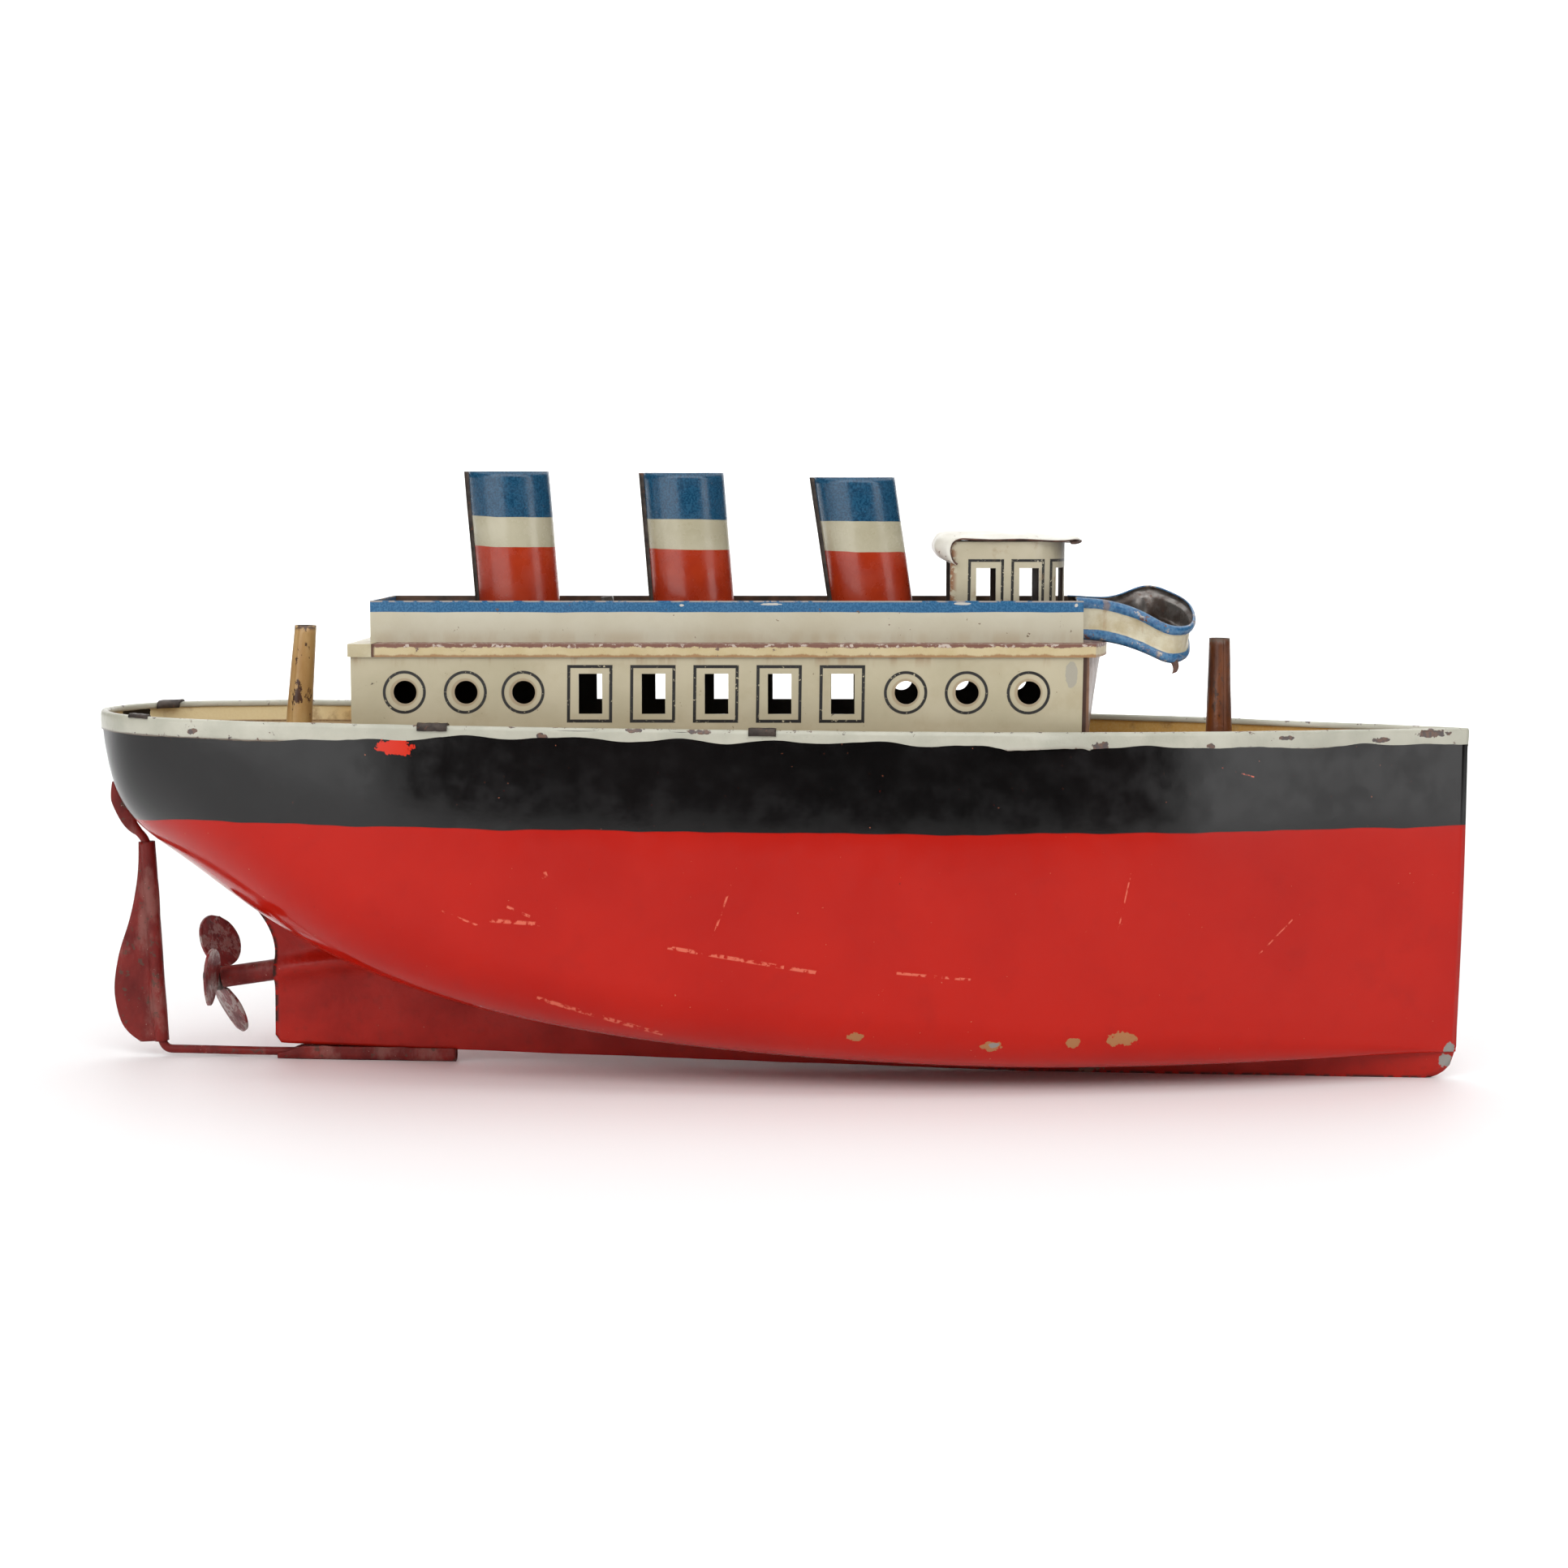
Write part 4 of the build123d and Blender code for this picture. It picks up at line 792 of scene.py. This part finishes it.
def bent_tab(x, side, length, seed, drop):
    """A ragged tongue of deck sheet folded over the rim."""
    half = float(np.interp(x, hull_stations[:, 0], hull_stations[:, 1]))
    turn = math.atan(float(np.interp(x + 1, hull_stations[:, 0], hull_stations[:, 1])) - half)
    profile = [(-3.2, -0.5), (-2.6, 0.45), (-1.6, 0.8), (-0.5, 0.86), (0.3, 0.74), (0.62, 0.4), (0.68, drop)]
    rows = []
    for step in np.linspace(-0.5, 0.5, 9):
        ragged = 0.45 * noise.noise(Vector((step * 5, seed, 0)))
        row = []
        for out, up in profile:
            stretch = 1 + (0.25 * ragged if out > 0.5 or out < -2 else 0)
            across = half + out * stretch
            skew = 0.35 * out * noise.noise(Vector((seed, 2, 0)))
            row.append((x + skew + step * length * math.cos(turn), side * (across + step * length * math.sin(turn)),
                        RIM_Z + up + 0.25 * ragged))
        rows.append(row)
    return (np.array(rows), 0, False, side > 0)


tabs = [bent_tab(x, side, length, seed, drop) for x, side, length, seed, drop in (
    (-60.2, -1, 5.2, 1, -0.5), (-3.0, -1, 4.8, 2, -0.5), (-114.0, -1, 4.6, 3, 0.2),
    (-61.5, 1, 4.8, 4, -0.6), (-3.0, 1, 4.8, 5, -0.6), (-116.4, 1, 4.8, 6, -0.4))]
make_piece("deck_tabs_bent", tabs, ["sooty_tin"], "hull", ("deck_tabs",), thick=0.3)


# --- funnels ------------------------------------------------------------------------------
def funnel_grid(x, rake, top):
    """Oval tube rolled from sheet, its two edges pinched together aft into a fin."""
    foot = 79.75
    rim = 86.7
    rows = []
    heights = np.linspace(foot, top, 26)
    for z in heights:
        swell = 1 + 0.012 * (top - z) / (top - foot)
        centre = x - (z - rim) * math.tan(math.radians(rake))
        row = [(centre - 8.1, -0.05, z)]
        for angle in np.linspace(-math.pi, math.pi, 97):
            px = centre + 7.3 * swell * math.cos(angle)
            py = 5.5 * swell * math.sin(angle)
            squeeze = min(1.0, abs(abs(angle) - math.pi) / 0.12)
            row.append((px, py if squeeze >= 1 else math.copysign(max(abs(py) * squeeze, 0.06), angle), z))
        row.append((centre - 8.1, 0.12, z))
        rows.append(row)
    return dents(trimmed(np.array(rows)), 12.0, 0.06, x)


for name, x, rake, top in (("funnel_aft", -48.3, 4.4, 109.7), ("funnel_mid", -16.5, 4.4, 109.4),
                           ("funnel_fore", 16.0, 8.4, 108.6)):
    obj = make_piece(name + "_rolled", [(funnel_grid(x, rake, top), 0, False, False)],
                     ["funnel_litho", "sooty_tin"], "hull", (name,), thick=0.3, offset=-1.0)
    obj.modifiers["sheet"].material_offset = 1
    obj.modifiers["sheet"].material_offset_rim = 1


# --- wheelhouse roof ------------------------------------------------------------------------
def roof_grid():
    """Roof sheet, its aft edge curled down and its front edge turned under."""
    profile = [(29.8, 93.4), (28.5, 94.0), (27.4, 95.1), (27.0, 96.3), (27.5, 97.3), (28.9, 97.9), (32, 98.0),
               (40, 97.9), (47, 97.75), (51.6, 97.7), (53.4, 97.6), (53.9, 97.3), (53.2, 96.95), (51.6, 96.9)]
    line = spline([(x, z, 0) for x, z in profile], 90)[:, :2]
    rows = []
    for px, pz in line:
        half = 10.3 if px < 43.5 else 10.3 * math.sqrt(max(0.0, 1 - ((px - 43.5) / 10.6) ** 2))
        aft = 1 - min(max((px - 26.0) / 6.0, 0), 1)
        crown = 0.9 * min(max((pz - 96.5) / 1.2, 0), 1) * min(max((56 - px) / 12, 0), 1)
        row = []
        for v in np.linspace(-1, 1, 31):
            corner = max(0.0, (abs(v) - 0.62) / 0.38) ** 2
            droop = crown * (1 - v * v) - (0.3 + 0.5 * aft) * abs(v) ** 6
            row.append((px + 3.4 * corner * aft, v * half, pz + droop + 0.1 * noise.noise(Vector((px * 0.2, v * 3, 1)))))
        rows.append(row)
    return trimmed(np.array(rows))


roof = make_piece("wheelhouse_roof_curled", [(roof_grid(), 0, False, True)], ["roof_cream", "edge_brown"],
                  "hull", ("wheelhouse_roof",), thick=0.35, offset=-1.0)
roof.modifiers["sheet"].material_offset = 1
roof.modifiers["sheet"].material_offset_rim = 1


# --- front bulwark ---------------------------------------------------------------------------
# x, y, top height, band height: out along the starboard side, round the nose and back
SCOOP_LINE = [
    (51.8, -12.6, 88.2, 7.6), (55.6, -11.0, 87.9, 7.6), (59.8, -9.6, 87.1, 7.4), (64.6, -11.0, 85.4, 7.2),
    (69.0, -12.0, 83.4, 6.8), (71.8, -10.2, 83.2, 6.6), (73.8, -4.4, 84.6, 6.6), (73.9, 2.0, 86.6, 6.8),
    (71.4, 8.4, 88.6, 7.0), (67.0, 11.4, 89.6, 7.2), (62.6, 9.2, 88.4, 7.2), (58.8, 6.6, 87.6, 7.3),
    (55.0, 9.4, 87.6, 7.4), (52.4, 12.4, 87.6, 7.4),
]
# fraction of the height, outward bulge
SCOOP_PROFILE = [(0.0, 0.1), (0.04, 0.5), (0.12, 0.72), (0.21, 0.55), (0.27, 0.12), (0.32, 0.0), (0.5, 0.05),
                 (0.68, 0.0), (0.73, 0.12), (0.79, 0.55), (0.88, 0.72), (0.96, 0.5), (1.0, 0.1)]


def scoop_grid():
    line = spline(SCOOP_LINE, 170)
    slope = np.gradient(line[:, :2], axis=0)
    slope /= np.linalg.norm(slope, axis=1)[:, None]
    rows = []
    for (x, y, top, tall), (dx, dy) in zip(line, slope):
        row = []
        for fraction, bulge in SCOOP_PROFILE:
            tuck = 1.2 * (1 - fraction) * min(max((x - 66) / 6, 0), 1)
            row.append((x - tuck + dy * bulge, y - dx * bulge, top - tall * (1 - fraction)))
        rows.append(row)
    return dents(np.array(rows), 7.0, 0.12, 2.0)


def scoop_litho():
    """The bulwark's paint follows the band, so its stripes come from the mesh's own map."""
    paint = Paint("scoop_litho", roughness=0.34, coat=0.15)
    across = paint.node("ShaderNodeAttribute")
    across.attribute_name = "band"
    band = across.outputs["Fac"]
    cream = paint.mix(paint.ramp(paint.noise(0.25, 6), 0.35, 0.7), linear(220, 212, 184), linear(196, 180, 144))
    wobble = paint.math("MULTIPLY", paint.math("SUBTRACT", paint.noise(0.3, 3), 0.5), 0.06)
    edge = paint.math("ADD", paint.math("ABSOLUTE", paint.math("SUBTRACT", band, 0.5)), wobble)
    blue = paint.mix(paint.ramp(paint.noise(1.5, 4), 0.35, 0.65), linear(34, 92, 140), linear(72, 126, 166))
    colour = paint.mix(paint.ramp(edge, 0.235, 0.255), cream, blue)
    bare = paint.both(paint.ramp(edge, 0.26, 0.3), paint.ramp(paint.noise(0.42, 6, rough=0.7, shift=5), 0.57, 0.63))
    colour = paint.mix(bare, colour, linear(176, 168, 160))
    brown = paint.both(paint.ramp(edge, 0.26, 0.3), paint.ramp(paint.noise(0.5, 6, rough=0.7, shift=15), 0.6, 0.64))
    colour = paint.mix(brown, colour, linear(106, 70, 58))
    stain = paint.ramp(paint.noise(0.35, 6, (1, 1, 0.3), shift=9), 0.58, 0.7, 0.0, 0.5)
    colour = paint.mix(stain, colour, linear(164, 124, 76))
    return paint.finish(colour, 0.34, paint.noise(0.7, 5), 0.2, paint.math("MULTIPLY", bare, 0.6))


INKS["scoop_litho"] = scoop_litho()
scoop = make_piece("front_bulwark_sprung", [(scoop_grid(), 0, False, True)], ["scoop_litho", "raw_tin"],
                   "hull", ("front_bulwark",), thick=0.3, offset=-1.0)
scoop.modifiers["sheet"].material_offset = 1
band = scoop.data.attributes.new("band", "FLOAT", "POINT")
columns = len(SCOOP_PROFILE)
band.data.foreach_set("value", [SCOOP_PROFILE[i % columns][0] for i in range(len(scoop.data.vertices))])


def tongue_grid():
    """The bent brown tongue left under the bulwark's near corner."""
    rows = []
    for t in np.linspace(0, 1, 9):
        width = 1.3 * (1 - 0.35 * t)
        x = 69.4 + 1.0 * math.sin(t * 2.2) - 0.4 * t
        rows.append([(x + s * width, -11.6 - 0.3 * t, 77.4 - 2.6 * t + 0.3 * s) for s in (-0.5, 0, 0.5)])
    return np.array(rows)


make_piece("bulwark_tongue", [(tongue_grid(), 0, False, False)], ["edge_brown"], "hull",
           thick=0.4, offset=0.0)


# --- masts ------------------------------------------------------------------------------
def mast_grid(foot, top, foot_r, top_r, gap_shade):
    """Tapered tube rolled from sheet, one edge lapping the other."""
    foot, top = Vector(foot), Vector(top)
    rows = []
    for t in np.linspace(0, 1, 16):
        centre = foot.lerp(top, t)
        radius = foot_r + (top_r - foot_r) * t
        row = []
        for turn in np.linspace(0, 2 * math.pi + 0.35, 44):
            r = radius * (1 - 0.07 * turn / 6.6)
            row.append((centre.x + r * math.cos(gap_shade + turn), centre.y + r * math.sin(gap_shade + turn), centre.z))
        rows.append(row)
    return dents(np.array(rows), 6.0, 0.05, gap_shade)


for name, foot, top, foot_r, top_r, gap_shade in (
        ("mast_aft", (-89.1, 0, DECK_Z), (-87.7, 0, 80.5), 2.5, 2.05, -2.0),
        ("mast_fore", (79.7, 0, DECK_Z), (79.3, 0, 80.6), 2.5, 1.95, -1.3)):
    obj = make_piece(name + "_rolled", [(mast_grid(foot, top, foot_r, top_r, gap_shade), 0, False, False)],
                     ["mast_ochre", "sooty_tin"], "hull", (name,), thick=0.28, offset=-1.0)
    obj.modifiers["sheet"].material_offset = 1


# --- propeller ----------------------------------------------------------------------------


def blade_grid(turn, lean):
    """One broad leaf, pitched, and a little cupped and twisted."""
    reach, root = 12.3, 2.25
    rows = []
    for t in np.linspace(0, 1, 22):
        r = root + (reach - root) * t
        width = 5.2 * math.sqrt(max(0.0, 1 - ((t - 0.56) / 0.56) ** 2)) if t < 0.56 else \
            5.2 * math.sqrt(max(0.0, 1 - ((t - 0.56) / 0.44) ** 2))
        width = max(width, 1.3 * (1 - t) + 0.02)
        pitch = lean + math.radians(8) * (0.5 - t)
        row = []
        for s in np.linspace(-1, 1, 15):
            chord = s * width
            cup = 0.35 * (s * s - 0.4) * width / 5.7
            u = -0.4 + chord * math.sin(pitch) + cup * math.cos(pitch)
            v = chord * math.cos(pitch) - cup * math.sin(pitch)
            y = v * math.cos(turn) - r * math.sin(turn)
            w = v * math.sin(turn) + r * math.cos(turn)
            row.append(on_shaft(u, y, w))
        rows.append(row)
    return np.array(rows)


def turned(profile, segments=40):
    """Surface of revolution about the shaft from (u, radius) points."""
    rows = []
    for u, radius in profile:
        rows.append([on_shaft(u, radius * math.sin(a), radius * math.cos(a))
                     for a in np.linspace(0, 2 * math.pi, segments, endpoint=False)])
    return np.array(rows)


blades = [(blade_grid(math.radians(turn), math.radians(lean)), 0, False, False)
          for turn, lean in ((-30, 30), (80, 12), (210, 38))]
make_piece("propeller_blades", blades, ["propeller_paint"], "propeller_line", ("propeller",),
           thick=0.45, offset=0.0, bevel=0.1)
boss = turned([(-0.2, 1.05), (-0.2, 2.0), (-0.5, 2.35), (-1.9, 2.35), (-2.2, 2.1), (-2.2, 1.05)])
make_piece("propeller_boss", [(boss, 0, True, False)], ["raw_tin"], "propeller_line")
cap = turned([(-2.2, 1.05), (-2.2, 2.5), (-2.6, 2.55), (-3.0, 2.2), (-3.4, 1.5), (-3.55, 0.7), (-3.6, 0.02)])
make_piece("propeller_cap", [(cap, 0, True, False)], ["raw_tin"], "propeller_line", ("propeller_nut",))


# --- rudder -------------------------------------------------------------------------------
RUDDER_FOOT = Vector((-114.8, 0, 2.9))
RUDDER_TOP = Vector((-117.1, 0, 40.3))


def rudder_grids():
    """Sheet folded round the wire: a barrel, then two leaves pressed together aft."""
    outline = spline([(0, 4.0, 0), (2.6, 6.7, 0), (6.4, 7.9, 0), (10.2, 8.1, 0), (14.0, 7.5, 0), (17.9, 6.4, 0),
                      (21.7, 4.9, 0), (26.2, 3.4, 0), (33, 2.1, 0), (37.3, 1.7, 0)], 60)
    axis = (RUDDER_TOP - RUDDER_FOOT).normalized()
    aft = Vector((-axis.z, 0, axis.x))
    rows = []
    for height, back, _ in outline:
        centre = RUDDER_FOOT + axis * float(height)
        section = [(float(back), 0.12)]
        for t in (0.85, 0.6, 0.35):
            section.append((1.2 + (float(back) - 1.2) * t, 0.3))
        section.append((1.35, 0.42))
        for turn in np.linspace(math.pi * 0.82, -math.pi * 0.82, 19):
            section.append((-1.35 * math.cos(turn), 1.35 * math.sin(turn)))
        section.append((1.35, -0.42))
        for t in (0.35, 0.6, 0.85):
            section.append((1.2 + (float(back) - 1.2) * t, -0.3))
        section.append((float(back), -0.12))
        row = []
        for out, across in section:
            p = centre + aft * out
            row.append((p.x, across, p.z))
        rows.append(row)
    return dents(np.array(rows), 8.0, 0.1, 4.0)


make_piece("rudder_folded", [(rudder_grids(), 0, True, True)], ["matt_red"], "rudder_blade",
           ("rudder",), thick=0.25, offset=-1.0)


# --- rudder wire ----------------------------------------------------------------------------
def tube_grid(line, radius_at, flat_at, sides=14):
    """Round or flattened bar along a line in the ship's middle plane."""
    line = np.array(line)
    slope = np.gradient(line, axis=0)
    slope /= np.linalg.norm(slope, axis=1)[:, None]
    rows = []
    for i, ((x, z), (dx, dz)) in enumerate(zip(line, slope)):
        t = i / (len(line) - 1)
        radius, flat = radius_at(t), flat_at(t)
        row = []
        for a in np.linspace(0, 2 * math.pi, sides, endpoint=False):
            normal = radius * (1 + flat * 0.75) * math.cos(a)
            across = radius * (1 - flat * 0.4) * math.sin(a)
            row.append((x - dz * normal, across, z + dx * normal))
        rows.append(row)
    return np.array(rows)


def wire_line():
    lean = Vector((RUDDER_TOP.x - RUDDER_FOOT.x, RUDDER_TOP.z - RUDDER_FOOT.z)).normalized()
    bend = (RUDDER_FOOT.x - lean.x / lean.y * (RUDDER_FOOT.z - 1.32), 1.32)
    knots = [(-60.5, 1.32), (-80, 1.32), (-100, 1.25), (bend[0] + 2.6, 1.32), (bend[0] + 0.9, 1.6)]
    knots += [(bend[0] - 0.05, 3.0), (-115.9, 21.0), (-117.0, 38.5), (-117.9, 40.9), (-119.9, 43.0),
              (-121.6, 45.9), (-122.9, 49.0), (-123.3, 51.2)]
    return spline([(x, z, 0) for x, z in knots], 260)[:, :2]


def leaf(t):
    """The wire's end is beaten into a leaf where it is soldered to the stern."""
    return math.sin(math.pi * min(max((t - 0.9) / 0.1, 0), 1)) ** 0.7


def wire_radius(t):
    return 0.8 * (1 - 0.6 * min(max((t - 0.97) / 0.03, 0), 1))


make_piece("rudder_wire_bent", [(tube_grid(wire_line(), wire_radius, leaf), 0, True, True)],
           ["matt_red"], "hull", ("rudder_wire",))



def shoe_grid():
    """Strip folded up round the wire and the keel's foot, pinched narrow at its aft end."""
    rows = []
    for t in np.linspace(0, 1, 60):
        x = -93.0 + 33.2 * t
        full = min(t / 0.16, 1)
        full = full * full * (3 - 2 * full)
        tall = 0.9 + 1.5 * full + 0.16 * noise.noise(Vector((x * 0.35, 0, 0)))
        half = 1.0 + 0.35 * full
        row = []
        for side in (-1, 1):
            for v in np.linspace(1, 0, 8):
                lift = tall * v
                spread = half * (1 - 0.2 * v) * math.sqrt(1 - (1 - min(lift / 0.9, 1)) ** 2)
                row.append((x, side * max(spread, 0.02), 0.12 + lift))
            if side < 0:
                continue
            row[8:] = row[:7:-1]
        rows.append(row)
    return dents(np.array(rows), 6.0, 0.06, 9.0)


make_piece("keel_shoe_folded", [(shoe_grid(), 0, False, True)], ["matt_red"], "hull",
           ("keel_shoe",), thick=0.4, offset=-1.0)

# --- stage and light -------------------------------------------------------------------------
def add_floor():
    """Pale table whose paper runs up behind into a backdrop."""
    profile = [(-0.5, 0.0), (0.0, 0.0), (0.8, 0.0), (1.6, 0.0), (2.1, 0.03), (2.4, 0.2), (2.55, 0.6), (2.6, 2.4)]
    across = np.linspace(-2.2, 2.2, 12)
    verts = [(x, y, z) for y, z in profile for x in across]
    faces = [tuple(reversed(face)) for face in sheet_faces(len(profile), len(across))]
    mesh = bpy.data.meshes.new("floor")
    mesh.from_pydata(verts, [], faces)
    mesh.polygons.foreach_set("use_smooth", [True] * len(faces))
    mesh.validate()
    floor = bpy.data.objects.new("floor", mesh)
    bpy.context.collection.objects.link(floor)
    paint = Paint("paper", roughness=0.6, specular=0.3)
    paper = paint.mix(paint.ramp(paint.noise(0.002, 2), 0.3, 0.7), (0.9, 0.9, 0.9, 1), (0.93, 0.93, 0.93, 1))
    mesh.materials.append(paint.finish(paper, 0.6))


def add_softbox(name, place, aim, wide, tall, watts):
    """Rectangular light facing a point; all in metres."""
    data = bpy.data.lights.new(name, "AREA")
    data.shape = "RECTANGLE"
    data.size, data.size_y = wide, tall
    data.energy = watts
    light = bpy.data.objects.new(name, data)
    direction = Vector(aim) - Vector(place)
    light.matrix_world = Matrix.Translation(place) @ direction.to_track_quat("-Z", "Y").to_matrix().to_4x4()
    light.visible_camera = False
    bpy.context.collection.objects.link(light)


add_floor()
add_softbox("overhead", (0.0, 0.6, 1.5), (0, 0.6, 0), 3.2, 2.6, 38)
add_softbox("front_fill", (0.0, -1.4, 1.3), (0, 0, 0.05), 3.0, 1.2, 27)
add_softbox("left_panel", (-0.82, -1.01, 0.2), (0, 0, 0.05), 1.1, 1.0, 6.5)
add_softbox("right_panel", (0.95, -0.89, 0.2), (0, 0, 0.05), 0.42, 1.0, 2.8)
add_softbox("backdrop", (0.0, 0.9, 1.4), (0, 2.6, 0.6), 2.4, 1.0, 40)

world = bpy.data.worlds.new("studio")
world.use_nodes = True
tree = world.node_tree
direction = tree.nodes.new("ShaderNodeTexCoord")
split = tree.nodes.new("ShaderNodeSeparateXYZ")
behind = tree.nodes.new("ShaderNodeMapRange")
behind.interpolation_type = "SMOOTHSTEP"
for socket, amount in zip(list(behind.inputs)[1:5], (-0.75, 0.1, 0.06, 0.6)):
    socket.default_value = amount
tree.links.new(direction.outputs["Generated"], split.inputs[0])
tree.links.new(split.outputs[1], behind.inputs[0])
tree.links.new(behind.outputs[0], tree.nodes["Background"].inputs["Strength"])
bpy.context.scene.world = world
bpy.context.scene.view_settings.view_transform = "Standard"
